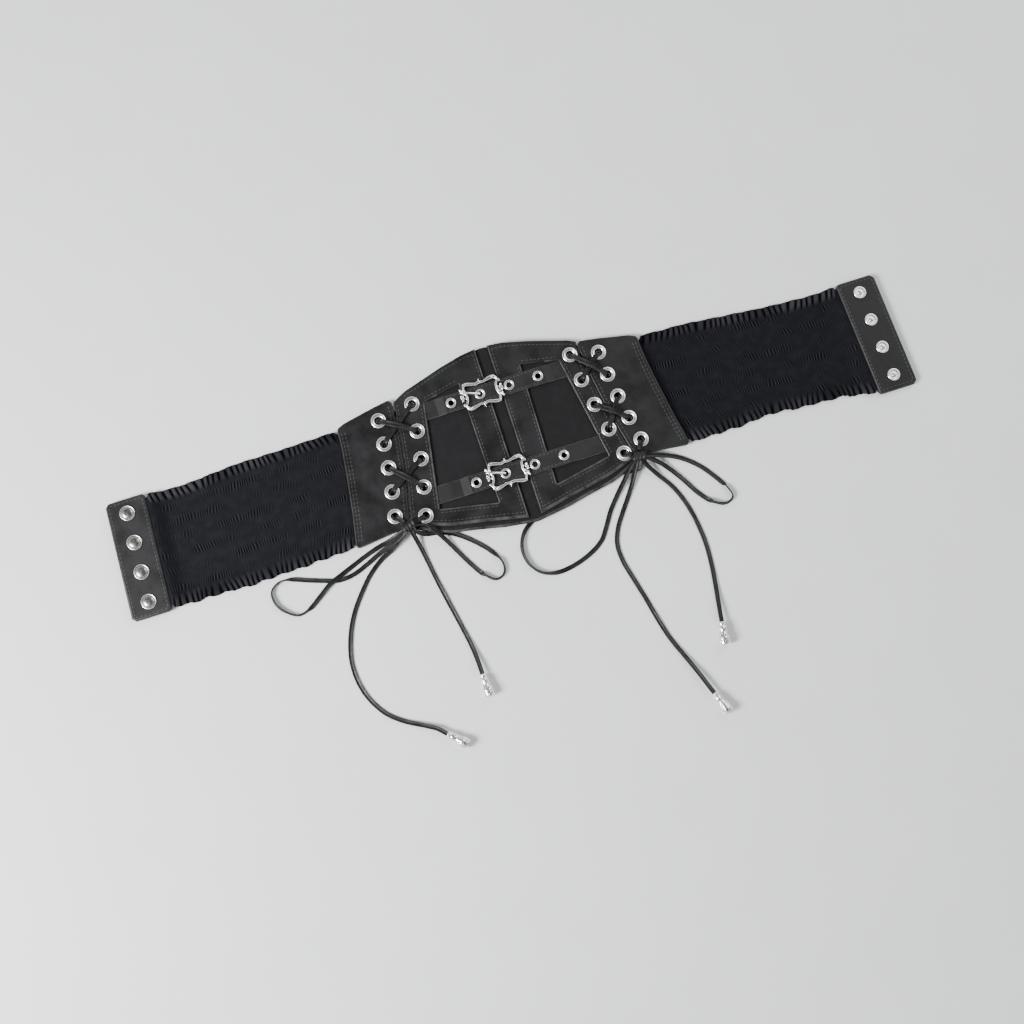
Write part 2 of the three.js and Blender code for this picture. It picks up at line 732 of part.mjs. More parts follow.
function snapStud() {
  const seat = tabRightBottom + tabThickness + clearance;
  return turned([
    [0, 0],
    [studPlateRadius, 0],
    [studPlateRadius, studPlateThickness],
    [snapPostRadius, studPlateThickness],
    [snapPostRadius, seat],
    [studRingRadius, seat],
    [studRingRadius * studRim.r, seat + studRingRise * studRim.rise],
    [nubRadius * nubNeckShare, seat + studRingRise * studDishShare],
    [nubRadius * nubShoulder.r, seat + nubRise * nubShoulder.rise],
    [nubRadius * nubTopShare, seat + nubRise],
    [0, seat + nubRise],
  ], snapSides);
}

// Straps, which dip into the windows at both ends
const strapEyeletPlaces = strapEyeletSteps.map((step) => step * strapEyeletPitch);
const outerStrapEyeletX = strapEyeletPlaces[strapEyeletPlaces.length - 1];

function strap(centreY) {
  const dipStart = outerStrapEyeletX + strapEyeletRadius + strapFlatEnd;
  const ringAt = (place, bottom) => {
    const corner = (dy) => {
      const y = centreY + dy;
      const x = place ?? windowOuterX(y) - strapEndClearance;
      return [x, y];
    };
    const [low, high] = [corner(-strapWidth / 2), corner(strapWidth / 2)];
    const top = bottom + strapThickness;
    return [[...low, bottom], [...high, bottom], [...high, top], [...low, top]];
  };
  const right = [
    ringAt(dipStart, strapHigh),
    ringAt(dipStart + strapRamp, strapLow),
    ringAt(null, strapLow),
  ];
  const left = right.map((ring) => ring.map(([x, y, z]) => [-x, y, z])).reverse();
  const tools = strapEyeletPlaces.map((x) => {
    const hole = polygonHole(x, centreY, strapCut);
    return slab(hole, [], strapHigh - cutOverrun, strapThickness + 2 * cutOverrun);
  });
  return cut(loft([...left, ...right]), tools);
}

// Buckles, each over the eyelet that its prong goes into
const prongTipX = strapEyeletPlaces[1];
const buckleX = prongTipX + buckleOffset;

function buckle(centreY) {
  const half = buckleScroll.map(([x, y]) => [(x * buckleLength) / 2, (y * buckleHeight) / 2]);
  const outline = [...half, ...half.map(([x, y]) => [-x, -y])];
  const [w, h, r] = [buckleWindowLength / 2, buckleWindowHeight / 2, buckleWindowCorner];
  const inset = (1 - Math.SQRT1_2) * r;
  const quarter = [[w, h - r], [w - inset, h - inset], [w - r, h]];
  const opening = [[1, 1], [-1, 1], [-1, -1], [1, -1]].flatMap(([sx, sy]) => {
    const corner = quarter.map(([x, y]) => [sx * x, sy * y]);
    return sx * sy > 0 ? corner : corner.reverse();
  });
  return slab(outline, [opening], buckleBottom, buckleThickness).translate(buckleX, centreY, 0);
}

function prong(centreY) {
  const barX = buckleX - buckleWindowLength / 2;
  const overBar = buckleTop + clearance + prongRadius;
  const eyeletTop = strapFlangeBottom + strapEyeletCrown;
  const hookX = buckleX - prongHookShare * (buckleLength / 2) - clearance - prongRadius;
  const path = new THREE.CatmullRomCurve3([
    [hookX, buckleBottom + prongRadius + prongRise.hook],
    [hookX, overBar - prongRise.bend],
    [hookX + prongRise.reach, overBar],
    [barX, overBar],
    [prongTipX - prongRise.slope, eyeletTop + clearance + prongRadius + prongRise.slopeRise],
    [prongTipX - prongRise.nose, eyeletTop + prongRise.noseRise],
    [prongTipX, strapTop],
  ].map(([x, z]) => new THREE.Vector3(x, centreY, z)));
  const corners = polygonHole(0, 0, prongRadius).map(([x, y]) => new THREE.Vector2(x, y));
  const section = new THREE.Shape(corners);
  return new THREE.ExtrudeGeometry(section, { steps: prongSteps, extrudePath: path });
}

// Lacing: up through one eyelet and down through the next, across on the face, along on the back
const toward = (a, b) => new THREE.Vector3(b.x - a.x, b.y - a.y, 0).normalize();

function throughEyelet(eyelet, under, over) {
  const at = (direction, distance, z, facing, pinch) =>
    station(eyelet.x + direction.x * distance, eyelet.y + direction.y * distance, z, facing, pinch);
  const back = over.clone().negate();
  const across = under.clone().add(back);
  const inBarrel = across.lengthSq() > 0 ? across : under;
  const { reach, lean, dip, lift } = passage;
  return [
    at(under, reach, lowLaceZ, up),
    at(under, lean, lowLaceZ + lift, up.clone().add(under), lacePinch),
    at(under, 0, (eyeletBottom + flangeBottom) / 2, inBarrel, lacePinch),
    at(over, lean, highLaceZ - dip, up.clone().add(back), lacePinch),
    at(over, reach, highLaceZ, up),
  ];
}

// On both sides the strand from the upper left eyelet lies on top where two strands cross
function weave(side, knot) {
  const columns = [panelColumn(side), wingColumn(side)];
  const [left, right] = side < 0 ? columns.reverse() : columns;
  const route = [
    { eyelet: right[4], from: 'over', over: knot, under: right[3] },
    { eyelet: right[3], from: 'under', over: left[2], under: right[4] },
    { eyelet: left[2], from: 'over', over: right[3], under: left[1], humped: true },
    { eyelet: left[1], from: 'under', over: right[0], under: left[2] },
    { eyelet: right[0], from: 'over', over: left[1], under: left[0] },
    { eyelet: left[0], from: 'under', over: right[1], under: right[0] },
    { eyelet: right[1], from: 'over', over: left[0], under: right[2], humped: true },
    { eyelet: right[2], from: 'under', over: left[3], under: right[1] },
    { eyelet: left[3], from: 'over', over: right[2], under: left[4] },
    { eyelet: left[4], from: 'under', over: knot, under: left[3] },
  ];
  const knotEnd = (eyelet) => {
    const way = toward(eyelet, knot);
    const distance = Math.hypot(knot.x - eyelet.x, knot.y - eyelet.y);
    const reach = distance - knotSize.length / 2 - clearance;
    return station(eyelet.x + way.x * reach, eyelet.y + way.y * reach, highLaceZ);
  };
  const stations = [knotEnd(right[4])];
  route.forEach(({ eyelet, from, over, under, humped }) => {
    if (humped) {
      for (const share of crossingShares) {
        const x = lerp(over.x, eyelet.x, share);
        const y = lerp(over.y, eyelet.y, share);
        stations.push(station(x, y, crossingZ));
      }
    }
    const steps = throughEyelet(eyelet, toward(eyelet, under), toward(eyelet, over));
    stations.push(...(from === 'under' ? steps : steps.reverse()));
  });
  stations.push(knotEnd(left[4]));
  return laceAlong(stations, wovenSection);
}

// Bows
function strand(points) {
  const route = points.map(([x, y, height]) => new THREE.Vector3(x, y, height * laceThickness));
  const curve = new THREE.CatmullRomCurve3(route);
  const steps = Math.round(curve.getLength() / bowStep);
  const stations = curve.getSpacedPoints(steps).map(({ x, y, z }) => station(x, y, z));
  stations.forEach(({ point }) => point.setZ(Math.max(point.z, lowLaceZ)));
  return laceAlong(stations, freeSection);
}

function bow(shape) {
  const [x, y] = shape.knot;
  const knot = new THREE.SphereGeometry(0.5, 8, 4).rotateX(Math.PI / 2);
  knot.scale(knotSize.length, knotSize.width, knotSize.height);
  knot.translate(x, y, leatherTop + clearance + knotSize.height / 2);
  const strands = [shape.loopOut, shape.loopBack, shape.tailLong, shape.tailShort];
  return join([knot, ...strands.map(strand)]);
}

function tip(points) {
  const [end, before] = [points[points.length - 1], points[points.length - 2]];
  const heading = Math.atan2(end[1] - before[1], end[0] - before[0]);
  const geometry = turned([
    [0, tipStart],
    [tipRadius * tipMouthShare, tipStart],
    ...tipOutline.map(({ along, r }) => [tipRadius * r, tipLength * along]),
    [0, tipLength],
  ], tipSides);
  geometry.rotateY(Math.PI / 2).rotateZ(heading);
  return geometry.translate(end[0], end[1], tipRadius + floorClearance);
}

// The assembly
const group = new THREE.Group();
const sides = { left: -1, right: 1 };

function place(name, geometry, finish, position = [0, 0, 0]) {
  const mesh = new THREE.Mesh(geometry, new THREE.MeshStandardMaterial(finishes[finish]));
  mesh.name = name;
  mesh.position.set(...position);
  group.add(mesh);
}

place('base_panel', backingPanel(), 'backing');
for (const [name, side] of Object.entries(sides)) {
  const isLeft = side < 0;
  const tabY = isLeft ? tabLeftY : tabRightY;
  const tabBottom = isLeft ? tabLeftBottom : tabRightBottom;
  const shape = isLeft ? bowLeft : bowRight;
  place(`centre_half_${name}`, panelHalf(side), 'leather');
  place(`wing_${name}`, wing(side), 'leather');
  place(`elastic_${name}`, elastic(side, drapes[name], tabY, tabBottom), 'elastic');
  place(`tab_${name}`, tab(side, tabY, tabBottom), 'leather');
  snapPlaces(side, tabY).forEach(({ x, y }, i) => {
    const piece = isLeft ? ['snap_cap', snapCap()] : ['snap_stud', snapStud()];
    place(`${piece[0]}_${i + 1}`, piece[1], 'metal', [x, y, 0]);
  });
  panelColumn(side).forEach(({ x, y }, i) => {
    place(`lace_eyelet_${name}_inner_${i + 1}`, laceEyelet(), 'metal', [x, y, 0]);
  });
  wingColumn(side).forEach(({ x, y }, i) => {
    place(`lace_eyelet_${name}_outer_${i + 1}`, laceEyelet(), 'metal', [x, y, 0]);
  });
  const knot = { x: shape.knot[0], y: shape.knot[1] };
  place(`lace_${name}_weave`, weave(side, knot), 'lace');
  place(`bow_${name}`, bow(shape), 'lace');
  place(`lace_tip_${name}_long`, tip(shape.tailLong), 'antique');
  place(`lace_tip_${name}_short`, tip(shape.tailShort), 'antique');
}
for (const [name, y] of Object.entries({ top: strapTopY, bottom: strapBottomY })) {
  place(`strap_${name}`, strap(y), 'strap');
  strapEyeletPlaces.forEach((x, i) => {
    place(`strap_eyelet_${name}_${i + 1}`, strapEyelet(), 'metal', [x, y, 0]);
  });
  place(`buckle_${name}`, buckle(y), 'metal');
  place(`prong_${name}`, prong(y), 'metal');
}

export default group;
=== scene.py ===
# %% Start
import math

import bmesh
import bpy
import numpy as np
from mathutils import Matrix, Vector, noise
from mathutils.geometry import tessellate_polygon


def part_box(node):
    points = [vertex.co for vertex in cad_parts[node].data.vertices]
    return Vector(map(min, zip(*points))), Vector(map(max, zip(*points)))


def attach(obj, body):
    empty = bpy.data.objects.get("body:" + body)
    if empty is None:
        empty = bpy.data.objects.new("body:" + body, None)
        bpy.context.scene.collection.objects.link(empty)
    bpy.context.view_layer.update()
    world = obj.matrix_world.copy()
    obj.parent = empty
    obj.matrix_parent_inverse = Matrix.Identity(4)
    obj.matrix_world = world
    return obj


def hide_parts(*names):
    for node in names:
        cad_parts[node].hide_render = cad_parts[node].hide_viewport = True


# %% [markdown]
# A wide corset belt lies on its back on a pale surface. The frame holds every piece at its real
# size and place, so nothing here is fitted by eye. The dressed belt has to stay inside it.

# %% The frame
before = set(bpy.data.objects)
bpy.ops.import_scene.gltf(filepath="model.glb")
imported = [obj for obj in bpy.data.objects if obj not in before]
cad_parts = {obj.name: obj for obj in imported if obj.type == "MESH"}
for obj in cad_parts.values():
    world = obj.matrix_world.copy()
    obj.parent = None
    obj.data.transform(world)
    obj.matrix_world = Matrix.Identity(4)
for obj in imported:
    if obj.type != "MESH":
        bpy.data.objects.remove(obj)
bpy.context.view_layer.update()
MM = 0.001

# %% [markdown]
# The camera stands almost straight above the belt, 81 degrees up, and sees the belt turned by
# about 18 degrees. A long lens keeps the proportions. The point it looks at and the way it looks
# are enough to place it.

# %% Camera
LOOK_AT = Vector((-0.0169, -0.0618, 0))
CAMERA_DISTANCE = 1.216
CAMERA_ELEVATION = math.radians(80.9)
BELT_TURN = math.radians(17.75)
FOCAL_LENGTH = 52.73

ahead = Vector((math.sin(BELT_TURN), math.cos(BELT_TURN), 0)) * math.cos(CAMERA_ELEVATION)
back = Vector((0, 0, math.sin(CAMERA_ELEVATION))) - ahead
camera = bpy.data.objects.new("camera", bpy.data.cameras.new("camera"))
camera.data.lens = FOCAL_LENGTH
camera.location = LOOK_AT + back * CAMERA_DISTANCE
camera.rotation_euler = (-back).to_track_quat("-Z", "Y").to_euler()
bpy.context.collection.objects.link(camera)
bpy.context.scene.camera = camera
print("camera at", tuple(round(c, 3) for c in camera.location))

# %% [markdown]
# Shader networks get long when every node is placed by hand. One small helper adds a node, sets
# it up and links or fills its inputs, so that a material reads as a list of what it is made of.

# %% Helpers for shader nodes
def fill(tree, node, inputs):
    """Fills the inputs of a node: a socket is linked, and anything else is a value."""
    for key, value in inputs.items():
        if isinstance(value, bpy.types.NodeSocket):
            tree.links.new(value, node.inputs[key])
        else:
            node.inputs[key].default_value = value


def add(tree, kind, inputs=None, **settings):
    """Adds a shader node with its settings and inputs."""
    made = tree.nodes.new(f"ShaderNode{kind}")
    for key, value in settings.items():
        setattr(made, key, value)
    fill(tree, made, inputs or {})
    return made


def noise_at(tree, where, scale, detail, **more):
    """Noise at a place: its value, from 0 to 1."""
    return add(tree, "TexNoise", {
        "Vector": where, "Scale": scale, "Detail": detail, **more}).outputs["Fac"]


def maths(tree, operation, *values, **settings):
    """One step of arithmetic."""
    return add(tree, "Math", dict(enumerate(values)), operation=operation, **settings).outputs[0]


def ranged(tree, value, start, end, low=0.0, high=1.0, **settings):
    """Maps start to end onto low to high."""
    return add(tree, "MapRange", {
        "Value": value, "From Min": start, "From Max": end, "To Min": low, "To Max": high},
        **settings).outputs["Result"]


def mixed(tree, factor, first, second):
    """Mixes two colours, each a socket or three numbers."""
    pair = [c if isinstance(c, bpy.types.NodeSocket) else (*c, 1) for c in (first, second)]
    return add(tree, "Mix", {"Factor": factor, 6: pair[0], 7: pair[1]}, data_type="RGBA").outputs[2]


def new_group(name, takes, gives):
    """An empty node group; takes maps input names to default values, gives lists outputs."""
    tree = bpy.data.node_groups.new(name, "ShaderNodeTree")
    for key, value in takes.items():
        kind = "NodeSocketVector" if value is None else "NodeSocketFloat"
        socket = tree.interface.new_socket(key, in_out="INPUT", socket_type=kind)
        if value is not None:
            socket.default_value = value
    for key in gives:
        tree.interface.new_socket(key, in_out="OUTPUT", socket_type="NodeSocketFloat")
    print("group:", name)
    return tree, tree.nodes.new("NodeGroupInput").outputs, tree.nodes.new("NodeGroupOutput")


def place_group(tree, group, **values):
    """Places a node group in a material, with its own values."""
    return add(tree, "Group", values, node_tree=group).outputs


def new_material(name, coordinates):
    """A new material, its tree, its shader and the coordinates that it reads."""
    material = bpy.data.materials.new(name)
    material.use_nodes = True
    tree = material.node_tree
    print("material:", name)
    return (material, tree, tree.nodes["Principled BSDF"],
            add(tree, "TexCoord").outputs[coordinates])


# %% [markdown]
# Leather-look sheet has fine pebbles with soft creases between them, and broad slow waves where
# it was handled. Laces, straps, wings and tabs all share this, at their own scale, so it is one
# node group: Voronoi cells for the pebbles, noise for the waves.

# %% Group: leather grain
grain_group, takes, gives = new_group(
    "leather_grain", {"Vector": None, "Cells": 1100.0, "Waves": 60.0}, ["Height", "Tone"])
cells = add(grain_group, "TexVoronoi", {
    "Vector": takes["Vector"], "Scale": takes["Cells"], "Randomness": 0.9}, feature="SMOOTH_F1")
fine = noise_at(grain_group, takes["Vector"], takes["Cells"], 2.0)
waves = noise_at(grain_group, takes["Vector"], takes["Waves"], 4.0, Roughness=0.55)
pebbles = maths(grain_group, "MULTIPLY", cells.outputs["Distance"], -0.35)
with_fine = maths(grain_group, "MULTIPLY_ADD", fine, 0.18, pebbles)
fill(grain_group, gives, {
    "Height": maths(grain_group, "MULTIPLY_ADD", waves, 2.2, with_fine), "Tone": waves})

# %% [markdown]
# Everything black and soft collects a little pale dust and rubs lighter on its folded rims. The
# rims carry a corner attribute called wear, made when they are rounded, and this group breaks it
# up with noise and adds a few specks.

# %% Group: rubbed rims and dust
rub_group, takes, gives = new_group(
    "rub_and_dust", {"Vector": None, "Wear": 0.0, "Specks": 0.05}, ["Mask"])
patches = noise_at(rub_group, takes["Vector"], 240.0, 3.0)
rims = maths(rub_group, "MULTIPLY", takes["Wear"], ranged(rub_group, patches, 0.35, 0.62, 0.35, 1.0))
grit = add(rub_group, "TexVoronoi", {
    "Vector": takes["Vector"], "Scale": 420.0, "Randomness": 1.0}, feature="F1")
dots = ranged(rub_group, grit.outputs["Distance"], 0.05, 0.16, 1.0, 0.0)
fill(rub_group, gives, {
    "Mask": maths(rub_group, "MULTIPLY_ADD", dots, takes["Specks"], rims, use_clamp=True)})

# %% [markdown]
# Two cloths are woven: the backing in the windows and the elastic. A fine plain weave is two
# crossing waves; their product gives the little squares of over and under.

# %% Group: plain weave
weave_group, takes, gives = new_group(
    "plain_weave", {"Vector": None, "Threads": 2200.0}, ["Height", "Tone"])
threads = [add(weave_group, "TexWave", {
    "Vector": takes["Vector"], "Scale": takes["Threads"], "Distortion": 0.6, "Detail": 1.0},
    wave_type="BANDS", bands_direction=direction).outputs["Fac"] for direction in "XY"]
fill(weave_group, gives, {
    "Height": maths(weave_group, "MULTIPLY", *threads),
    "Tone": noise_at(weave_group, takes["Vector"], 130.0, 4.0)})

# %% [markdown]
# A leather-look material puts the grain group on the bump and the roughness, and lets the rub
# group lighten the rims. Only the colours and the shine differ between the sheets, so they are
# made by one function with a few numbers each.

# %% Leather-look materials
def leather(name, dark, pale, worn, shine, cells=1100.0, waves=60.0):
    """Black leather-look sheet: two tones, the colour of its rubbed rims, and its roughness."""
    material, tree, shader, where = new_material(name, "Object")
    grain = place_group(tree, grain_group, Vector=where, Cells=cells, Waves=waves)
    wear = add(tree, "Attribute", attribute_name="wear")
    rub = place_group(tree, rub_group, Vector=where, Wear=wear.outputs["Fac"])
    body = mixed(tree, ranged(tree, grain["Tone"], 0.36, 0.64), dark, pale)
    relief = add(tree, "Bump", {"Height": grain["Height"], "Strength": 0.35, "Distance": 0.0004})
    fill(tree, shader, {
        "Base Color": mixed(tree, rub["Mask"], body, worn),
        "Roughness": ranged(tree, grain["Tone"], 0.35, 0.65, *shine),
        "Specular IOR Level": 0.32, "Normal": relief.outputs["Normal"]})
    return material


panel_leather = leather("panel_leather", (0.0055, 0.0055, 0.006), (0.0105, 0.0105, 0.0115),
                        (0.15, 0.15, 0.15), (0.36, 0.52))
tab_leather = leather("tab_leather", (0.0035, 0.0035, 0.004), (0.0085, 0.0085, 0.0095),
                      (0.16, 0.16, 0.16), (0.42, 0.56), cells=900.0)
strap_leather = leather("strap_leather", (0.0075, 0.0075, 0.008), (0.0125, 0.0125, 0.013),
                        (0.1, 0.1, 0.1), (0.5, 0.62))
lace_leather = leather("lace_leather", (0.0035, 0.0035, 0.004), (0.0095, 0.0095, 0.01),
                       (0.06, 0.06, 0.06), (0.4, 0.55), cells=1500.0, waves=160.0)
# The welts' pale colour is a painted highlight, standing in for light on the turned edges.
welt_painted_highlight_leather = leather("welt_painted_highlight_leather", (0.02, 0.02, 0.02), (0.06, 0.06, 0.06),
                       (0.2, 0.2, 0.2), (0.26, 0.38), cells=1300.0, waves=120.0)


# %% [markdown]
# The elastic is a blue-black cloth with a soft sheen and a painted highlight along its raised
# threads, and the backing in the windows is a duller one. Both read their own weave from the sheet's
# UV map or from the object's place, and a sheen lobe gives the pale edge that cloth has at flat
# angles. A vertex attribute called shade paints light and shade into the elastic's colour: painted
# shade where it lies in a crease, -1, and a painted highlight on its ridges and pleats, 1.

# %% Cloth materials and sewing thread
def cloth(name, dark, pale, rough, threads, sheen, glint, vector="UV"):
    """A woven cloth with a plain weave, uneven tone, sheen, and painted shade and highlight."""
    material, tree, shader, where = new_material(name, vector)
    weave = place_group(tree, weave_group, Vector=where, Threads=threads)
    shade = add(tree, "Attribute", attribute_name="shade")
    uneven = ranged(tree, weave["Tone"], 0.35, 0.65, 0.48, 0.53)
    tone = maths(tree, "MULTIPLY_ADD", shade.outputs["Fac"], 0.5, uneven, use_clamp=True)
    # Painted light: the ramp's darkest stop is painted shade in creases, its palest a painted
    # highlight on ridges.
    body = add(tree, "ValToRGB", {"Fac": tone})
    body.color_ramp.elements[0].color = (*(c * 0.3 for c in dark), 1)
    body.color_ramp.elements[1].color = (*pale, 1)
    body.color_ramp.elements.new(0.5).color = (*dark, 1)
    relief = add(tree, "Bump", {"Height": weave["Height"], "Strength": 0.5, "Distance": 0.0001})
    fill(tree, shader, {
        "Base Color": body.outputs["Color"],
        "Specular IOR Level": ranged(tree, tone, 0.25, 1.0, 0.0, 2 * glint),
        "Normal": relief.outputs["Normal"],
        "Roughness": rough, "Sheen Weight": sheen, "Sheen Roughness": 0.45})
    return material


# The elastic's pale colour is the painted highlight on its ridges and pleats.
elastic_cloth = cloth("elastic_cloth", (0.0048, 0.0048, 0.0072), (0.036, 0.0355, 0.042),
                      0.65, 2100.0, 0.015, 0.14)
backing_cloth = cloth("backing_cloth", (0.008, 0.008, 0.0088), (0.02, 0.02, 0.022),
                      0.6, 1500.0, 0.02, 0.2, vector="Object")
sewing_thread = leather("sewing_thread", (0.03, 0.03, 0.03), (0.055, 0.055, 0.055),
                        (0.1, 0.1, 0.1), (0.5, 0.65), cells=3000.0)


# %% [markdown]
# The bright metal is nickel plate: nearly a mirror, with faint scratches that only change its
# roughness. The buckles and lace ends are cast. A corner attribute says how deep a spot lies and
# mixes a dark colour into the metal: patina with painted shade in the buckles' hollows, painted
# shade in the lace ends' pits and the eyelets' throats, and a painted dark reflection on the snap
# domes.

# %% Metal materials
# Dark mix colour: patina in buckle hollows, painted shade and a painted dark reflection elsewhere.
DARK_PATINA_AND_SHADE = (0.035, 0.032, 0.028)


def plate(name, colour, rough):
    """Polished plate with fine scratches in its roughness, and patina, painted shade and a painted
    dark reflection.
    """
    material, tree, shader, where = new_material(name, "Object")
    streaks = noise_at(tree, where, 700.0, 3.0, Distortion=0.8)
    shade_and_tarnish = add(tree, "Attribute", attribute_name="shade_and_tarnish")
    relief = add(tree, "Bump", {"Height": streaks, "Strength": 0.12, "Distance": 0.00008})
    fill(tree, shader, {
        "Base Color": mixed(tree, shade_and_tarnish.outputs["Fac"], colour, DARK_PATINA_AND_SHADE),
        "Roughness": ranged(tree, streaks, 0.35, 0.65, *rough),
        "Normal": relief.outputs["Normal"], "Metallic": 1.0})
    return material


nickel_plate = plate("nickel_plate", (0.95, 0.94, 0.92), (0.2, 0.32))
cast_silver = plate("cast_silver", (0.9, 0.89, 0.86), (0.16, 0.3))


# %% [markdown]
# Every piece ends the same way: its mesh is stored, it gets a material, rides on the belt's one
# body, and hides the plain solid of the frame that it stands for.

# %% Helper that keeps a piece
def keep(name, bm, material, node, sharp=40):
    """Turns a bmesh into a piece of the belt that stands for the named node."""
    mesh = bpy.data.meshes.new(name)
    bm.to_mesh(mesh)
    bm.free()
    mesh.materials.append(material)
    mesh.polygons.foreach_set("use_smooth", [True] * len(mesh.polygons))
    mesh.set_sharp_from_angle(angle=math.radians(sharp))
    piece = bpy.data.objects.new(name, mesh)
    bpy.context.collection.objects.link(piece)
    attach(piece, "root")
    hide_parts(node)
    print(name, len(mesh.polygons), "faces")
    return piece


def mark(faces, layer, value):
    """Gives every corner of the faces one value of a loop attribute."""
    for face in faces:
        for loop in face.loops:
            loop[layer] = value


# %% [markdown]
# A lace, a welt or a prong is one section pushed along a route. A row of the route holds the place,
# the way its upper face looks, and how wide it is there. The rows are smoothed with a centripetal
# Catmull-Rom curve, which never loops where close and far points meet, and cut into even steps.
# A grid with one column per step and one row per corner of the section is then rolled into a
# tube, and keeps a UV map in metres along and around it.

# %% Helpers for routes and sweeps
def flat_rows(points):
    """Route rows that look straight up; points are in millimetres."""
    return [(x * MM, y * MM, z * MM, 0, 0, 1, 1) for x, y, z in points]


def run_along(points):
    """How far each point of a line lies from its start, along the line."""
    return np.concatenate([[0], np.cumsum(np.linalg.norm(np.diff(points, axis=0), axis=1))])


def smooth_route(points, step):
    """Even steps along a smooth curve through the rows, and the length of the curve."""
    rows = np.array(points, dtype=float)
    rows = np.vstack([2 * rows[0] - rows[1], rows, 2 * rows[-1] - rows[-2]])
    chords = np.linalg.norm(np.diff(rows[:, :3], axis=0), axis=1)
    knots = np.concatenate([[0], np.cumsum(np.sqrt(chords))])
    fine = []
    for i in range(1, len(rows) - 2):
        a, b, c, d = rows[i - 1:i + 3]
        ta, tb, tc, td = knots[i - 1:i + 3]
        leave = (tc - tb) * ((b - a) / (tb - ta) - (c - a) / (tc - ta)) + c - b
        reach = (tc - tb) * ((d - c) / (td - tc) - (d - b) / (td - tb)) + c - b
        for t in np.linspace(0, 1, 14, endpoint=False):
            fine.append(b + leave * t + (3 * (c - b) - 2 * leave - reach) * t ** 2
                        + (2 * (b - c) + leave + reach) * t ** 3)
    fine = np.array(fine + [rows[-2]])
    run = run_along(fine[:, :3])
    places = np.linspace(0, run[-1], max(2, round(run[-1] / step)) + 1)
    return np.column_stack([np.interp(places, run, column) for column in fine.T]), run[-1]


def sweep(rows, section, step, into=None):
    """A closed tube: the section, in mm, along the smoothed rows, cut into even steps."""
    route, length = smooth_route(rows, step)
    n, m = len(route) - 1, len(section)
    bm = bmesh.new()
    uv = bm.loops.layers.uv.new("UVMap")
    bmesh.ops.create_grid(bm, x_segments=n, y_segments=m, size=1, calc_uvs=True)
    around = sum(math.dist(a, b) for a, b in zip(section, section[1:])) * MM
    for face in bm.faces:
        for loop in face.loops:
            loop[uv].uv = (loop[uv].uv.x * length, loop[uv].uv.y * around)
    points = [Vector(row[:3]) for row in route]
    for vert in bm.verts:
        i = round((vert.co.x + 1) / 2 * n)
        a, b = section[round((vert.co.y + 1) / 2 * m) % m]
        ahead = (points[min(i + 1, n)] - points[max(i - 1, 0)]).normalized()
        across = ahead.cross(Vector(route[i][3:6])).normalized()
        vert.co = points[i] + (across * a * route[i][6] + across.cross(ahead) * b) * MM
    bmesh.ops.remove_doubles(bm, verts=bm.verts, dist=1e-7)
    bmesh.ops.holes_fill(bm, edges=[e for e in bm.edges if e.is_boundary])
    bmesh.ops.recalc_face_normals(bm, faces=bm.faces)
    return bm if into is None else merge(into, bm)


def merge(into, bm):
    """Adds the second bmesh to the first."""
    mesh = bpy.data.meshes.new("part")
    bm.to_mesh(mesh)
    bm.free()
    into.from_mesh(mesh)
    bpy.data.meshes.remove(mesh)
    return into


# %% [markdown]
# The free ends of the two laces come first, because they reach furthest. Each lace is a flat strip
# of leather-look, 3.8 mm wide, pressed so that it has two ridges. A flat strip can't bend in its
# own plane, so where its route turns sharply it stands on its edge, and on straight runs it lies
# down. The turn of the route therefore sets how far the strip rolls over.

# %% Section of a lace, and a free lace along a route
LACE_SECTION = [(1.9, -0.2), (1.9, 0.25), (1.5, 0.58), (0.85, 0.5), (0, 0.18), (-0.85, 0.5),
                (-1.5, 0.58), (-1.9, 0.25), (-1.9, -0.2), (-1.45, -0.58), (0, -0.45),
                (1.45, -0.58)]
HALF_WIDTH, HALF_THICKNESS = 1.9, 0.58
LACE_STEP, ROLL_STEP, PATH_STEP = 0.0016, 0.002, 0.009
BEND_START, BEND_SPAN, FULL_ROLL = 20, 30, math.radians(76)


def rolled_rows(points):
    """Rows of a lace that stands on its edge in the bends, from points in mm."""
    places = [(*point, LYING)[:3] for point in points]
    route, length = smooth_route([[c * MM for c in place] for place in places], ROLL_STEP)
    heading = np.unwrap(np.arctan2(np.gradient(route[:, 1]), np.gradient(route[:, 0])))
    bend = np.convolve(np.gradient(heading) / ROLL_STEP, np.ones(11) / 11, mode="same")
    rows = []
    for i, (x, y, z) in enumerate(route):
        share = min(max((abs(bend[i]) - BEND_START) / BEND_SPAN, 0), 1)
        uneven = noise.noise(Vector((x, y, 0.3)) * 45) * 0.22
        roll = FULL_ROLL * share * share * (3 - 2 * share) * math.copysign(1, bend[i]) + uneven
        side = Vector((math.sin(heading[i]), -math.cos(heading[i]), 0))
        up = side * math.sin(roll) + Vector((0, 0, math.cos(roll)))
        rise = HALF_WIDTH * abs(math.sin(roll)) - HALF_THICKNESS * (1 - math.cos(roll))
        rows.append((x, y, z + rise * MM, *up, 1))
    return rows, length


def free_lace(name, node, points):
    """A lace that lies free on the surface; prints its real length."""
    rows, length = rolled_rows(points)
    piece = keep(name, sweep(rows, LACE_SECTION, LACE_STEP), lace_leather, node)
    count = min(40, max(16, round(length / PATH_STEP)))
    path, length = smooth_route([row[:3] for row in rows], length / (count - 1))
    print(name, "length in mm:", round(length / MM))


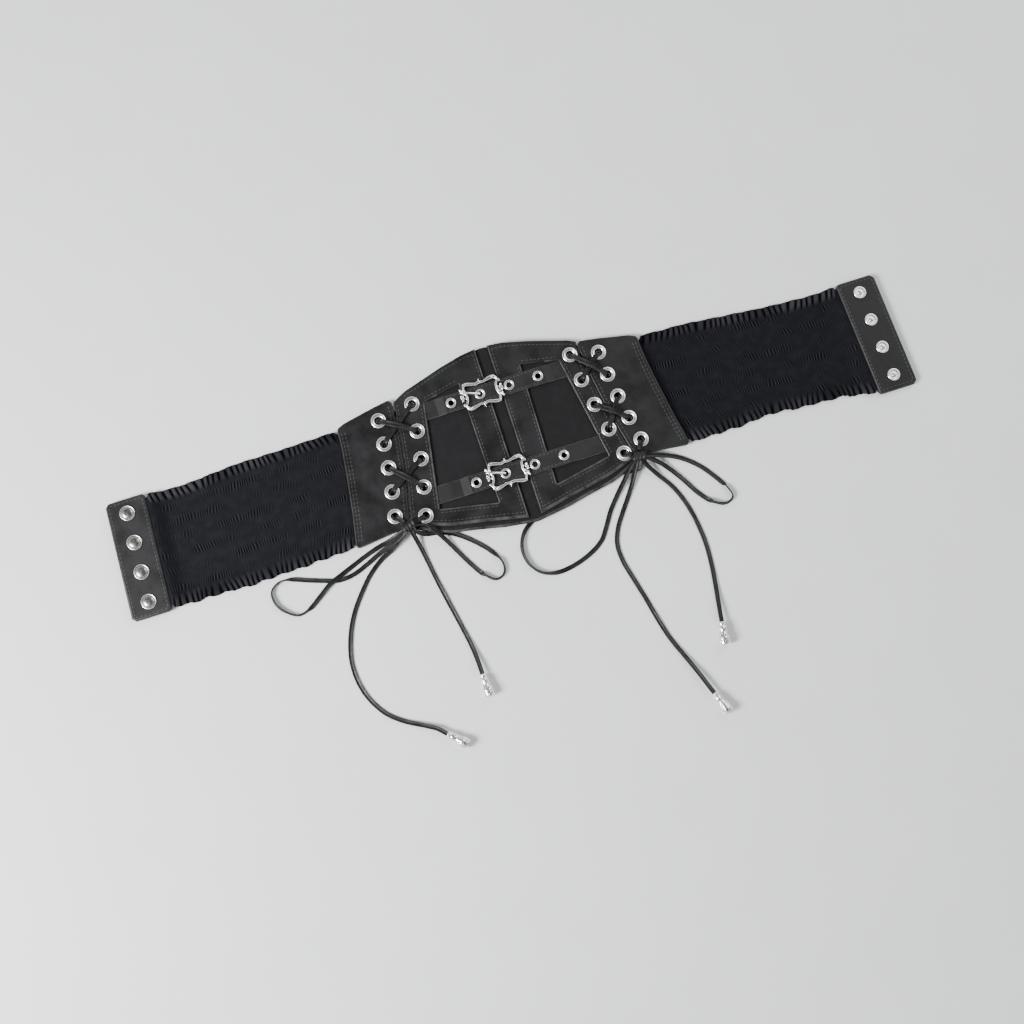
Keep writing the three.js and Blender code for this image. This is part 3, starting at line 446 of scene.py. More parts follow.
# %% Routes of the two bows, in mm; a point without a height lies flat on the surface
LYING = 0.66
BOWS = {
    "left": {
        "outer loop": [
            (-104, -50.5, 7.68), (-110, -52.5, 5.52), (-118, -54.6, 3.12), (-129, -56.8, 1.56),
            (-141, -60.5), (-153, -65, 0.72), (-164, -69.4, 2.04), (-174, -73.6, 2.4),
            (-185, -81, 1.56), (-196, -88), (-205, -90), (-214, -84.5), (-220.5, -75),
            (-220.5, -65), (-213, -59.5), (-202, -60.5), (-190, -65), (-177, -69.5), (-166, -72.7),
            (-154, -71.7), (-141, -67, 0.72), (-129, -61.8, 1.56), (-117, -58, 3.6),
            (-108, -54.5, 6), (-103.5, -51, 7.68),
        ],
        "inner loop": [
            (-97, -50, 7.68), (-92, -49.8, 7.68), (-86, -52.5, 7.32), (-80, -59.5, 5.88),
            (-74.5, -68, 2.88), (-69, -78, 1.08), (-62, -91), (-53.5, -104), (-45, -110.5),
            (-38, -107.5), (-36.5, -99), (-42, -88), (-50, -78.5), (-60, -69.5), (-70, -63),
            (-80, -59.6), (-88.5, -58.2, 1.2), (-94, -55.8, 4.32), (-97.5, -51.5, 7.2),
        ],
        "long tail": [
            (-103, -52, 7.2), (-109.5, -56.5, 4.8), (-118.5, -62, 2.28), (-129, -67, 0.84),
            (-141, -76), (-152, -88), (-163, -103), (-171, -120), (-175.5, -138), (-175, -156),
            (-170, -172), (-161, -186, 0.72), (-149, -196, 1.08), (-136, -203.5, 2.4),
            (-126, -209.5, 4.08), (-119.6, -215.8, 4.8),
        ],
        "short tail": [
            (-99, -51, 7.44), (-98.2, -56, 5.88), (-96.5, -64, 2.88), (-94.5, -75, 0.84),
            (-91.5, -95), (-87.5, -117), (-83.5, -138, 0.72), (-80.5, -156, 1.68),
            (-79.4, -170, 3.84), (-79.1, -179.5, 4.8),
        ],
    },
    "right": {
        "outer loop": [
            (91, -52.5, 7.68), (85, -57.5, 5.88), (77.5, -65.5, 3.24), (68, -75.5, 1.08),
            (59, -86), (52.5, -96), (45, -106), (34, -113), (18, -118.5), (2, -120), (-9.5, -116),
            (-17, -106), (-18.3, -93), (-13.5, -82), (-3, -73.5), (11, -68), (30, -64),
            (50, -60.5), (68, -58), (79, -58), (87, -60, 1.08), (92.5, -60.6, 2.88),
            (95.6, -57.6, 5.52), (95.4, -53.6, 7.44),
        ],
        "inner loop": [
            (98, -51.5, 7.68), (104, -52.5, 6.72), (111.5, -54.6, 4.68), (120.5, -57.6, 2.04),
            (130, -63, 0.72), (140, -72), (149, -84), (156, -96.5), (157.5, -104.5), (150.5, -108),
            (141, -103.5), (132, -93), (125, -81), (118, -70, 1.08), (110.5, -61, 3.24),
            (103.5, -55.2, 6), (98.5, -52.4, 7.44),
        ],
        "long tail": [
            (92.5, -53.5, 7.2), (88.5, -60.5, 4.8), (83, -69.5, 1.92), (76, -79.5, 0.72),
            (68, -90), (60.5, -101), (56, -113), (56, -127), (59.5, -143), (64, -162), (68, -181),
            (72.5, -198, 0.72), (78.5, -214, 1.56), (84.5, -230, 3.48), (90, -246, 4.68),
            (91.4, -249.8, 4.8),
        ],
        "short tail": [
            (96.5, -53.5, 7.2), (99.8, -60.5, 4.56), (106, -70, 1.56), (113.5, -81.5),
            (119.5, -97), (123, -115), (124.3, -134), (123, -153, 0.72), (120, -172, 1.68),
            (117, -188, 3.84), (115.3, -198, 4.8),
        ],
    },
}


# %% [markdown]
# A tail ends in a cast metal bell: a narrow collar that grips the lace, a waist, and a wide open
# mouth. The real one is pierced by round holes between rows of beads. It starts as a spin with
# sixteen sides, so that single faces can be inset and pushed in to become the holes; subdivision
# rounds them, and a loop attribute paints them and the inside of the mouth dark with painted shade.

# %% Helpers for spun and studded metal
def spun(profile, steps):
    """Spins a profile of (radius, height) in mm round the Z axis into a closed shape."""
    bm = bmesh.new()
    verts = [bm.verts.new((r * MM, 0, z * MM)) for r, z in profile]
    edges = [bm.edges.new(pair) for pair in zip(verts, verts[1:])]
    bmesh.ops.spin(bm, geom=verts + edges, cent=(0, 0, 0), axis=(0, 0, 1),
                   angle=math.tau, steps=steps, use_merge=True)
    bmesh.ops.remove_doubles(bm, verts=bm.verts, dist=1e-6)
    bmesh.ops.recalc_face_normals(bm, faces=bm.faces)
    return bm


def moved(bm, matrix):
    """Moves every vertex of a bmesh."""
    bmesh.ops.transform(bm, matrix=matrix, verts=bm.verts)
    return bm


def beads(bm, places, radius):
    """Adds small round beads at places in mm."""
    for place in places:
        bmesh.ops.create_icosphere(bm, subdivisions=1, radius=radius * MM,
                                   matrix=Matrix.Translation(Vector(place) * MM))


# %% One cast lace end, standing on its collar
TIP_BELL = [(0, 0.5), (2.45, 0.5), (2.6, 0.8), (2.6, 2.2), (2.3, 2.6), (2.75, 3.2), (3.3, 4.4),
            (3.15, 7.4), (3.05, 8.2), (3.5, 9.2), (4.35, 12.8), (4.5, 13.6), (4.3, 14.2),
            (4.45, 14.8), (4.3, 17.6), (4.1, 18.4), (3.3, 18.3), (3.0, 16.4), (0, 15.6)]
TIP_AXIS_HEIGHT = 4.65
PIERCED = [(4.4, 7.4), (9.2, 12.8), (14.8, 17.6)]
BEAD_ROWS, BEAD = [(2.62, 2.9, 10), (3.2, 8.6, 12), (4.45, 14.2, 16)], 0.42


def cast_tip():
    """The bell with three tiers of holes darkened by painted shade, and a row of beads below each.
    """
    bm = spun(TIP_BELL, 16)
    shade_and_tarnish = bm.loops.layers.float.new("shade_and_tarnish")
    for number, (low, high) in enumerate(PIERCED):
        middle = (low + high) / 2 * MM
        band = [f for f in bm.faces if abs(f.calc_center_median().z - middle) < 0.5 * MM
                and abs(f.normal.z) < 0.6 and f.calc_center_median().xy.length > 2.8 * MM]
        band.sort(key=lambda f: math.atan2(f.calc_center_median().y, f.calc_center_median().x))
        chosen = band[number % 2::2]
        bmesh.ops.inset_individual(bm, faces=chosen, thickness=0.22 * MM, use_even_offset=True)
        for face in chosen:
            inward = -face.normal * 0.8 * MM
            bmesh.ops.inset_individual(bm, faces=[face], thickness=0.08 * MM)
            bmesh.ops.translate(bm, vec=inward, verts=face.verts)
        # Painted shade in each pit, where a real hole would lie in shadow.
        mark(chosen, shade_and_tarnish, 1.0)
        print("holes in tier", number + 1, ":", len(chosen))
    # Painted shade inside the mouth of the bell.
    mark([f for f in bm.faces if f.calc_center_median().z > 15 * MM and f.normal.z > 0.5
          and f.calc_center_median().xy.length < 2.9 * MM], shade_and_tarnish, 1.0)
    for radius, z, count in BEAD_ROWS:
        turns = [math.tau * i / count for i in range(count)]
        beads(bm, [(radius * math.cos(t), radius * math.sin(t), z) for t in turns], BEAD)
    return bm


def lay_tip(name, points):
    """Lays a cast lace end at the end of a tail, in line with it."""
    end, before = Vector(points[-1]) * MM, Vector(points[-2]) * MM
    heading = math.atan2(end.y - before.y, end.x - before.x)
    lying = (Matrix.Translation((end.x, end.y, TIP_AXIS_HEIGHT * MM))
             @ Matrix.Rotation(heading, 4, "Z") @ Matrix.Rotation(math.radians(90), 4, "Y"))
    piece = keep(f"{name}_casting", moved(cast_tip(), lying), cast_silver, name)
    smooth = piece.modifiers.new("round", "SUBSURF")
    smooth.levels = smooth.render_levels = 1
    return piece


# %% Lay the bows and their metal ends
for side, strands in BOWS.items():
    bow = f"bow_{side}"
    for size in ("long", "short"):
        tail = strands[f"{size} tail"]
        tip = lay_tip(f"lace_tip_{side}_{size}", tail)
        free_lace(f"{bow}_{size}_tail", bow, tail)
    for which in ("outer", "inner"):
        free_lace(f"{bow}_{which}_loop", bow, strands[f"{which} loop"])

# %% [markdown]
# The knot of a bow is small and messy: the lace wraps two and a half times round the crossing
# strands, in one coil that leans as it goes, so its turns overlap. One strand lies across it.

# %% Knots
KNOTS = {"left": (-100, -49, 20), "right": (94.5, -50.5, -12)}
KNOT_HEIGHT, KNOT_TURNS, KNOT_LENGTH, KNOT_STEPS = 8.65, 2.5, 7.2, 30
CROSS_STRAND = [(-5.6, -1.5, 8.2), (-3, 0.4, 9.3), (0, 0.2, 9.6), (3, -0.6, 9.2), (5.6, 0.8, 8)]
TIGHT_STEP = 0.0009


def knot_rows(x, y, turn):
    """Rows of a coil of two and a half leaning turns, in the knot's own place."""
    rows = []
    spin = Matrix.Rotation(math.radians(turn), 3, "Z")
    for i in range(KNOT_STEPS + 1):
        angle = math.tau * KNOT_TURNS * i / KNOT_STEPS - 0.6
        shape = Vector((KNOT_LENGTH * (i / KNOT_STEPS - 0.5) + 1.1 * math.cos(angle),
                        3.3 * math.sin(angle), 2.15 * math.cos(angle)))
        out = spin @ Vector((0.25 * math.cos(angle * 0.7), 2.1 * math.sin(angle),
                             3.3 * math.cos(angle)))
        place = spin @ shape + Vector((x, y, KNOT_HEIGHT))
        rows.append((*(place * MM), *out.normalized(), 1))
    return rows


for side, place in KNOTS.items():
    knot = sweep(knot_rows(*place), LACE_SECTION, TIGHT_STEP)
    rows = flat_rows([(place[0] + x, place[1] + y, z) for x, y, z in CROSS_STRAND])
    sweep(rows, LACE_SECTION, TIGHT_STEP, knot)
    keep(f"bow_{side}_knot", knot, lace_leather, f"bow_{side}")

# %% [markdown]
# Above the bow each lace is laced through ten eyelets. It goes up through one and down through the
# next, crosses on the face and runs along the columns on the back. The route visits the eyelets
# in the real order, so the strand comes up through the ring and lies over its rim, which is why
# each ring looks like an open C from the front. In the barrel the strip is squeezed narrower.

# %% The laced part
LOW_LACE, HIGH_LACE, OVER_LACE, BARREL = 0.65, 7.45, 8.95, 3.6
UP = Vector((0, 0, 1))


def centre_of(node):
    """Middle of a solid of the frame, in mm."""
    low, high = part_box(node)
    return (Vector(low) + Vector(high)) / 2 / MM


def column(side, which):
    """Places of the five eyelets of a column, top row first, in mm."""
    found = [centre_of(f"lace_eyelet_{side}_{which}_{i}") for i in range(1, 6)]
    return [Vector((place.x, place.y, 0)) for place in found]


def row_at(place, height, facing, width=1.0):
    """Row of a route above a place in mm, with the way its upper face looks."""
    spot = Vector((place.x, place.y, height)) * MM
    return (*spot, *facing.normalized(), width)


def through(eyelet, under, over):
    """Rows of a lace from the back, along under, to the face, along over."""
    across = under - over if (under - over).length > 0.1 else under
    return [row_at(eyelet + under * 5, LOW_LACE, UP),
            row_at(eyelet + under * 1.8, LOW_LACE + 0.2, UP + under, 0.62),
            row_at(eyelet, BARREL, across, 0.7),
            row_at(eyelet + over * 1.8, HIGH_LACE - 0.5, UP - over * 0.8, 0.9),
            row_at(eyelet + over * 4.5, HIGH_LACE - 0.1, UP, 1.08),
            row_at(eyelet + over * 7, HIGH_LACE - 0.2, UP, 1.1)]


def laced_rows(side):
    """Rows of one laced lace, from the knot through ten eyelets and back to the knot."""
    inner, outer = column(side, "inner"), column(side, "outer")
    left, right = (outer, inner) if side == "left" else (inner, outer)
    knot = Vector((*KNOTS[side][:2], 0))
    order = [
        # eyelet, side on which the lace arrives, over to, under to, humped on the way
        (right[4], "over", knot, right[3], False),
        (right[3], "under", left[2], right[4], False),
        (left[2], "over", right[3], left[1], True),
        (left[1], "under", right[0], left[2], False),
        (right[0], "over", left[1], left[0], False),
        (left[0], "under", right[1], right[0], False),
        (right[1], "over", left[0], right[2], True),
        (right[2], "under", left[3], right[1], False),
        (left[3], "over", right[2], left[4], False),
        (left[4], "under", knot, left[3], False),
    ]
    rows = [row_at(knot + (right[4] - knot).normalized() * 5, HIGH_LACE + 0.4, UP)]
    for eyelet, start, over, under, humped in order:
        if humped:
            rows += [row_at(over.lerp(eyelet, share), OVER_LACE, UP, 1.15) for share in (0.4, 0.6)]
        steps = through(eyelet, (under - eyelet).normalized(), (over - eyelet).normalized())
        rows += steps if start == "under" else steps[::-1]
    return rows + [row_at(knot + (left[4] - knot).normalized() * 5, HIGH_LACE + 0.4, UP)]


for side in ("left", "right"):
    keep(f"lace_{side}_laced", sweep(laced_rows(side), LACE_SECTION, 0.0011), lace_leather,
         f"lace_{side}_weave")

# %% [markdown]
# The leather-look sheets are flat and cut by the frame's own outlines, so each starts from the
# outlines of the upper face of its solid. Sharp corners are rounded, and the outlines are drawn up
# in rings: a straight wall, then three narrow slopes that lean in and make a soft, rubbed rim. A
# last level ring keeps the rim's shading off the flat face, which is filled in between.

# %% Helpers for sheets
RIM_WEAR = 0.12


def outlines(node):
    """The closed outlines of the upper face of a solid, with the face on their left."""
    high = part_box(node)[1][2]
    bm = bmesh.new()
    bm.from_mesh(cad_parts[node].data)
    bmesh.ops.remove_doubles(bm, verts=bm.verts, dist=2e-6)
    spare = [f for f in bm.faces if f.normal.z < 0.9 or f.calc_center_median().z < high - 1e-5]
    bmesh.ops.delete(bm, geom=spare, context="FACES")
    after = {tuple(loop.vert.co.xy): tuple(loop.link_loop_next.vert.co.xy)
             for face in bm.faces for loop in face.loops if loop.edge.is_boundary}
    bm.free()
    found = []
    while after:
        line = [next(iter(after))]
        while line[-1] in after:
            line.append(after.pop(line[-1]))
        found.append([Vector((*place, 0)) for place in line[:-1]])
    return found


def rounded(line, radius):
    """Rounds the sharp corners of a closed outline."""
    result = []
    for before, here, after in zip(line[-1:] + line, line, line[1:] + line[:1]):
        back, ahead = before - here, after - here
        if min(back.length, ahead.length) < radius or back.angle(ahead) > math.radians(130):
            result.append(here)
            continue
        start, end = (here + way.normalized() * radius for way in (back, ahead))
        for t in np.linspace(0, 1, 6):
            result.append(start * (1 - t) ** 2 + here * 2 * t * (1 - t) + end * t ** 2)
    return result


def ring(bm, line, inset, z):
    """Vertices of a closed outline that is drawn in by an even inset, at height z."""
    verts = []
    for before, here, after in zip(line[-1:] + line, line, line[1:] + line[:1]):
        left, right = (UP.cross(way.normalized()) for way in (here - before, after - here))
        place = here + (left + right) / max(1 + left.dot(right), 0.5) * inset
        verts.append(bm.verts.new((place.x, place.y, z)))
    return verts


def sheet(name, node, material, rim, corner=0.0, nudge=None):
    """A flat sheet with the outline of its solid, rounded corners and a soft, rubbed rim."""
    low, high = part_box(node)[0][2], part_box(node)[1][2]
    rim *= MM
    lines = outlines(node)
    if nudge:
        lines = [[nudge(place) for place in line] for line in lines]
    if corner:
        lines = [rounded(line, corner * MM) for line in lines]
    bm = bmesh.new()
    wear = bm.loops.layers.float.new("wear")
    levels = [[ring(bm, line, inset * rim, z) for line in lines] for inset, z in (
        (0, low), (0, high - rim), (0.18, high - rim * 0.5), (0.5, high - rim * 0.17),
        (1, high), (1.2, high))]
    for number, (below, above) in enumerate(zip(levels, levels[1:])):
        for lower, upper in zip(below, above):
            for i in range(len(lower)):
                wall = bm.faces.new((lower[i - 1], lower[i], upper[i], upper[i - 1]))
                if number in (2, 3):
                    mark([wall], wear, RIM_WEAR)
    for rings in (levels[0], levels[-1]):
        verts = sum(rings, [])
        for corners in tessellate_polygon([[vert.co for vert in line] for line in rings]):
            bm.faces.new([verts[i] for i in corners])
    bmesh.ops.recalc_face_normals(bm, faces=bm.faces)
    keep(name, bm, material, node, sharp=50)


def reach_top(place):
    """Draws the upper edge of the backing out until it is flush with the halves."""
    return place + Vector((0, 0.0012, 0)) if place.y > 0.054 else place


sheet("base_panel_cloth", "base_panel", backing_cloth, 0.3, nudge=reach_top)
for side in ("left", "right"):
    sheet(f"centre_half_{side}_sheet", f"centre_half_{side}", panel_leather, 0.5)
    sheet(f"wing_{side}_sheet", f"wing_{side}", panel_leather, 0.9, corner=2.5)
    sheet(f"tab_{side}_fold", f"tab_{side}", tab_leather, 1.5, corner=3.5)

# %% [markdown]
# The two straps lie over the panel and dip into the windows at their ends, so they aren't flat.
# A copy of each solid is merged, its flat areas are joined, and its long upper edges get a bevel.

# %% Straps
for row in ("top", "bottom"):
    bm = bmesh.new()
    bm.from_mesh(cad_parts[f"strap_{row}"].data)
    bmesh.ops.remove_doubles(bm, verts=bm.verts, dist=2e-6)
    bmesh.ops.dissolve_limit(bm, angle_limit=math.radians(1), verts=bm.verts, edges=bm.edges)
    wear = bm.loops.layers.float.new("wear")
    rims = [e for e in bm.edges if any(f.normal.z > 0.6 for f in e.link_faces)
            and any(abs(f.normal.y) > 0.9 for f in e.link_faces)]
    round_faces = bmesh.ops.bevel(bm, geom=rims, offset=0.35 * MM, offset_type="OFFSET",
                                  affect="EDGES", segments=3, profile=0.5, material=-1)["faces"]
    mark(round_faces, wear, 0.6)
    keep(f"strap_{row}_strip", bm, strap_leather, f"strap_{row}", sharp=12)

# %% [markdown]
# The cut edges of the windows are turned over and stitched, and the light catches them as thin pale
# lines. Each is a low rounded welt swept along the edge, and its pale colour is a painted highlight.
# The lower edge of the panel is bound with a wider strip, and the backing shows a second, darker rim
# below it.

# %% Lines of the panel, in mm for the right side
SIDES = {"left": -1, "right": 1}
WING_SHIFT = 3.5
SEAM = [(79.1, 53.2), (79.6, 44.8), (81.6, 22.8), (84.6, 1.5), (88.3, -19), (93.1, -41),
        (95.3, -50.2)]
WINDOW = [(26.5, 52.1), (24.5, -51.8), (72, -42.6), (57.7, 45.9)]
HALF_FOOT = [(5.25, -71.1), (39.1, -64), (65.8, -59), (82, -53.8), (90.1, -50.8)]
BACKING_FOOT = [(0, -76), (25.7, -72.4), (49.6, -67.3), (67.7, -64), (79.1, -59.7), (87.7, -55.6),
                (92.9, -53.2)]
TOP_EDGE = [(5.25, 75.5), (18.1, 74.3), (36.2, 69.9), (58.1, 63.2), (70, 59.7), (76.2, 56.6)]
WING_OUTER = [(128.9, 46), (129.5, 31.3), (132.2, 7.8), (137.2, -26.5), (142, -52)]
LEATHER_TOP, BACKING_TOP = 5.35, 3.65
WELT_SINK, WELT_STEP = 0.1, 0.004


def along(line, offset=0.0, z=LEATHER_TOP, side=1, trim=0.0):
    """A line in mm moved sideways by offset, at height z, mirrored for the left side."""
    points = np.array(line, dtype=float)
    ways = np.gradient(points, axis=0)
    ways /= np.linalg.norm(ways, axis=1)[:, None]
    points = points + np.column_stack([ways[:, 1], -ways[:, 0]]) * offset
    if trim:
        points[0] += ways[0] * trim
        points[-1] -= ways[-1] * trim
    return [(side * x, y, z) for x, y in points]


def laced(line, side):
    """A seam or wing line of one side; both wings lie further to the left."""
    return [(x - side * WING_SHIFT, y) for x, y in line]


def on_line(line, count):
    """Points spread evenly on a bent line without rounding its corners."""
    points = np.array(line, dtype=float)
    run = run_along(points)
    places = np.linspace(0, run[-1], count)
    return [tuple(np.interp(places, run, c)[i] for c in points.T) for i in range(count)]


def welt_section(width, height):
    """Half-round section of a welt: flat below, crowned above."""
    crown = [(math.cos(t), math.sin(t)) for t in np.linspace(0, math.pi, 7)]
    return [(x * width / 2, max(y, 0) * height) for x, y in crown]


def lay_welt(bm, line, width, height):
    """Sweeps a welt along a line, a little sunk into its sheet."""
    rows = flat_rows([(x, y, z - WELT_SINK) for x, y, z in line])
    sweep(rows, welt_section(width, height), WELT_STEP, bm)


for name, side in SIDES.items():
    welts = bmesh.new()
    for line, offset, trim, width, height in (
            (WINDOW[2:], 0.6, 0, 1.5, 0.55),
            ([WINDOW[3], (46, 48)], 0.6, 0, 1.4, 0.5),
            ([WINDOW[1], (43.5, -48.1), WINDOW[2]], 0.7, 0, 1.5, 0.55),
            (WINDOW[:2], 0.5, 0, 1.1, 0.4),
            ([(5.25, 75.2), (5.25, -70.6)], -0.6, 0, 1.2, 0.45),
            (HALF_FOOT, -1.6, 1, 2.6, 0.55)):
        lay_welt(welts, on_line(along(line, offset, side=side, trim=trim), 9), width, height)
    keep(f"welts_{name}", welts, welt_painted_highlight_leather, f"centre_half_{name}")
# The lower rim is in the same pale colour, a painted highlight.
rim = bmesh.new()
for side in (-1, 1):
    lay_welt(rim, along(BACKING_FOOT, -1.3, BACKING_TOP, side), 2.2, 0.5)
keep("lower_rim", rim, welt_painted_highlight_leather, "base_panel")

# %% [markdown]
# Rows of stitching run beside every seam. A stitch is a short thread that dips at both ends, so it
# is a stretched ball half sunk in the leather. There are well over a thousand, so each has only
# a few faces, and all stitches of one sheet are one piece.

# %% Helper for stitches
STITCH, STITCH_PITCH = (2.2, 0.75, 0.4), 3.4


def stitch_row(bm, line):
    """Adds stitches along a line of points in mm; returns how many."""
    points = np.array(line, dtype=float)
    run = run_along(points)
    count = int(run[-1] // STITCH_PITCH)
    spare = (run[-1] - count * STITCH_PITCH) / 2
    for i in range(count):
        ends = [Vector([np.interp(spare + (i + share) * STITCH_PITCH, run, c)
                        for c in points.T]) for share in (0.15, 0.85)]
        way = ends[1] - ends[0]
        lean = Matrix.Rotation(0.07 * noise.noise(ends[0] * 3.1), 4, "Z")
        place = (Matrix.Translation((ends[0] + ends[1]) / 2 * MM) @ lean
                 @ way.to_track_quat("X", "Z").to_matrix().to_4x4()
                 @ Matrix.Diagonal((*(size / 2 * MM for size in STITCH), 1)))
        bmesh.ops.create_uvsphere(bm, u_segments=6, v_segments=4, radius=1,
                                  matrix=place @ Matrix.Rotation(math.pi / 2, 4, "Y"))
    return count


def stitched(name, node, lines):
    """All stitches of one sheet, as one piece."""
    thread = bmesh.new()
    count = sum(stitch_row(thread, line) for line in lines)
    keep(name, thread, sewing_thread, node)
    print(count, "stitches")


# %% Stitch the panel, wings, straps and tabs
TABS = {"left": (-6.4, 6.9), "right": (-12.2, 4.7)}
TAB_MIDDLE, TAB_LEAN, TAB_HEIGHT, TAB_INNER = 316, 3.7, 98.5, 16.5
TAB_ROWS = {"height": 46.4, "inner": 14, "outer": 13.5}


def tab_middle(y, centre):
    """Middle line of a tab, which leans along its height."""
    return TAB_MIDDLE - TAB_LEAN * (y - centre + TAB_HEIGHT / 2) / TAB_HEIGHT


def tab_rows(centre):
    """The four corners of the stitching on a tab, and the first again."""
    corners = []
    for up, out in ((1, -TAB_ROWS["inner"]), (-1, -TAB_ROWS["inner"]), (-1, TAB_ROWS["outer"]),
                    (1, TAB_ROWS["outer"]), (1, -TAB_ROWS["inner"])):
        y = centre + up * TAB_ROWS["height"]
        corners.append((tab_middle(y, centre) + out, y))
    return corners


for name, side in SIDES.items():
    seam, outer = laced(SEAM[:-1], side), laced(WING_OUTER, side)
    stitched(f"panel_stitches_{name}", f"centre_half_{name}", [
        along(line, offset, side=side, trim=trim) for line, offset, trim in (
            (seam, 3.2, 1), (WINDOW[2:], 3.0, 0), (WINDOW[:2], 2.6, 0),
            ([(5.25, 73), (5.25, -68)], -2.8, 0), (HALF_FOOT, -4.6, 4), (WINDOW[1:3], 3.0, 0),
            ([WINDOW[3], WINDOW[0]], 3.0, 0), (TOP_EDGE, 3.2, 2))])
    stitched(f"wing_stitches_{name}", f"wing_{name}", [
        along(line, offset, side=side, trim=trim)
        for line, offset, trim in ((seam, -4.0, 1), (outer, 3.0, 3), (outer, 5.6, 3))])
    centre, top = TABS[name]
    corners = [(side * x, y, top) for x, y in tab_rows(centre)]
    stitched(f"tab_stitches_{name}", f"tab_{name}", zip(corners, corners[1:]))

STRAPS = {"top": 38.0, "bottom": -31.24}
STRAP_TOP, STRAP_REACH, STRAP_SEAM = 6.85, 41, 5.5
for row, y in STRAPS.items():
    stitched(f"strap_stitches_{row}", f"strap_{row}", [
        [(x, y + edge, STRAP_TOP) for x in (-STRAP_REACH, STRAP_REACH)]
        for edge in (-STRAP_SEAM, STRAP_SEAM)])

# %% [markdown]
# The sides are elastic: cloth gathered on six rows of elastic thread, with a ruffle past the outer
# rows. The drape of each band is a table of where its middle line lies and how tall it is. A fine
# grid is laid over it, its heights follow the gathers, and a wall gives it the cloth's thickness.
# Gathers are short slanted ridges that keep to their rows and fade in and out; the ruffle's pleats
# grow from its seam to the free edge. The same formulas give the cloth's painted shade and
# highlight.

# %% Tables of the elastic sides, in mm
DRAPES = {
    "left": [(0, 0, 0.494), (0.3, 0.53, 0.5), (0.55, 0.76, 0.505), (0.8, 1.06, 0.482),
             (1, 1, 0.49)],
    "right": [(0, -0.04, 0.5), (0.25, 0.06, 0.49), (0.45, 0.15, 0.46), (0.65, 0.46, 0.457),
              (0.84, 0.65, 0.455), (1, 1, 0.492)],
}
SIDE_HEIGHT, SIDE_MIDDLE, RUFFLE = 98.0, -3.0, 8.5
FREE_LENGTH, TUCK, TUCKED_HALF = 165, 6, 45
GATHER_ROWS, GATHER_BAND = np.linspace(-33, 33, 6), 2.9
GATHER_PITCH, PLEAT_PITCH = 2.3, 5.0
GATHER_HEIGHT, PLEAT_HEIGHT, SEAM_HEIGHT = 0.5, 1.3, 0.5
CLOTH_WALL, FLOOR_GAP = 0.8, 0.05


def step(value, low, high):
    """Rises smoothly from 0 at low to 1 at high."""
    share = np.clip((value - low) / (high - low), 0, 1)
    return share * share * (3 - 2 * share)


def sway(x, y, seed):
    """Slow uneven value between about -1 and 1 from a few waves."""
    return (np.sin(x / 7.3 + seed) + np.sin(x / 3.9 + 1.7 * seed + y / 11)
            + np.sin(x / 17 - y / 6 + seed)) / 3


def gathers(x, tall):
    """The rows of gathers: how high they stand, and their painted highlight and shade."""
    height, shade = np.zeros(len(x)), np.zeros(len(x))
    for number, row in enumerate(GATHER_ROWS):
        near = tall - row - 0.9 * sway(x * 0.6, 0, number)
        band = np.exp(-(near / GATHER_BAND) ** 4)
        swell = np.clip(0.5 + 0.9 * sway(x * 0.8, 0, 3.1 * number + 1), 0.05, 1.2)
        lean = 0.35 * sway(x * 0.4, 0, number * 1.3)
        phase = x + lean * near + 1.2 * sway(x * 1.7, 0, number * 2.3)
        ridge = (0.5 + 0.5 * np.cos(math.tau * phase / GATHER_PITCH)) ** 1.6
        height += band * (GATHER_HEIGHT * swell * ridge - 0.2)
        shade += band * swell * (ridge - 0.55)
    return height, shade


def pleats(x, share, inner):
    """The ruffle at a distance inner from its edge: its reach, its pleats and their painted
    highlight.
    """
    upper, edge = share > 0, np.sign(share)
    frill = np.where(upper, step(RUFFLE + 1.5 - inner, 0, 5), step(RUFFLE + 4 - inner, 0, 11))
    lean = np.where(upper, -0.2, 0.1) + 0.35 * sway(x * 0.7, 0, 4)
    phase = x + lean * (RUFFLE - inner) + 2.2 * sway(x, 0, 7 + 2 * edge)
    pleat = 1 - np.abs(np.sin(math.pi * phase / PLEAT_PITCH)) ** 7
    return frill, pleat, np.clip(0.35 + 0.35 * sway(x * 0.5, 0, 9 + edge), 0, 1)


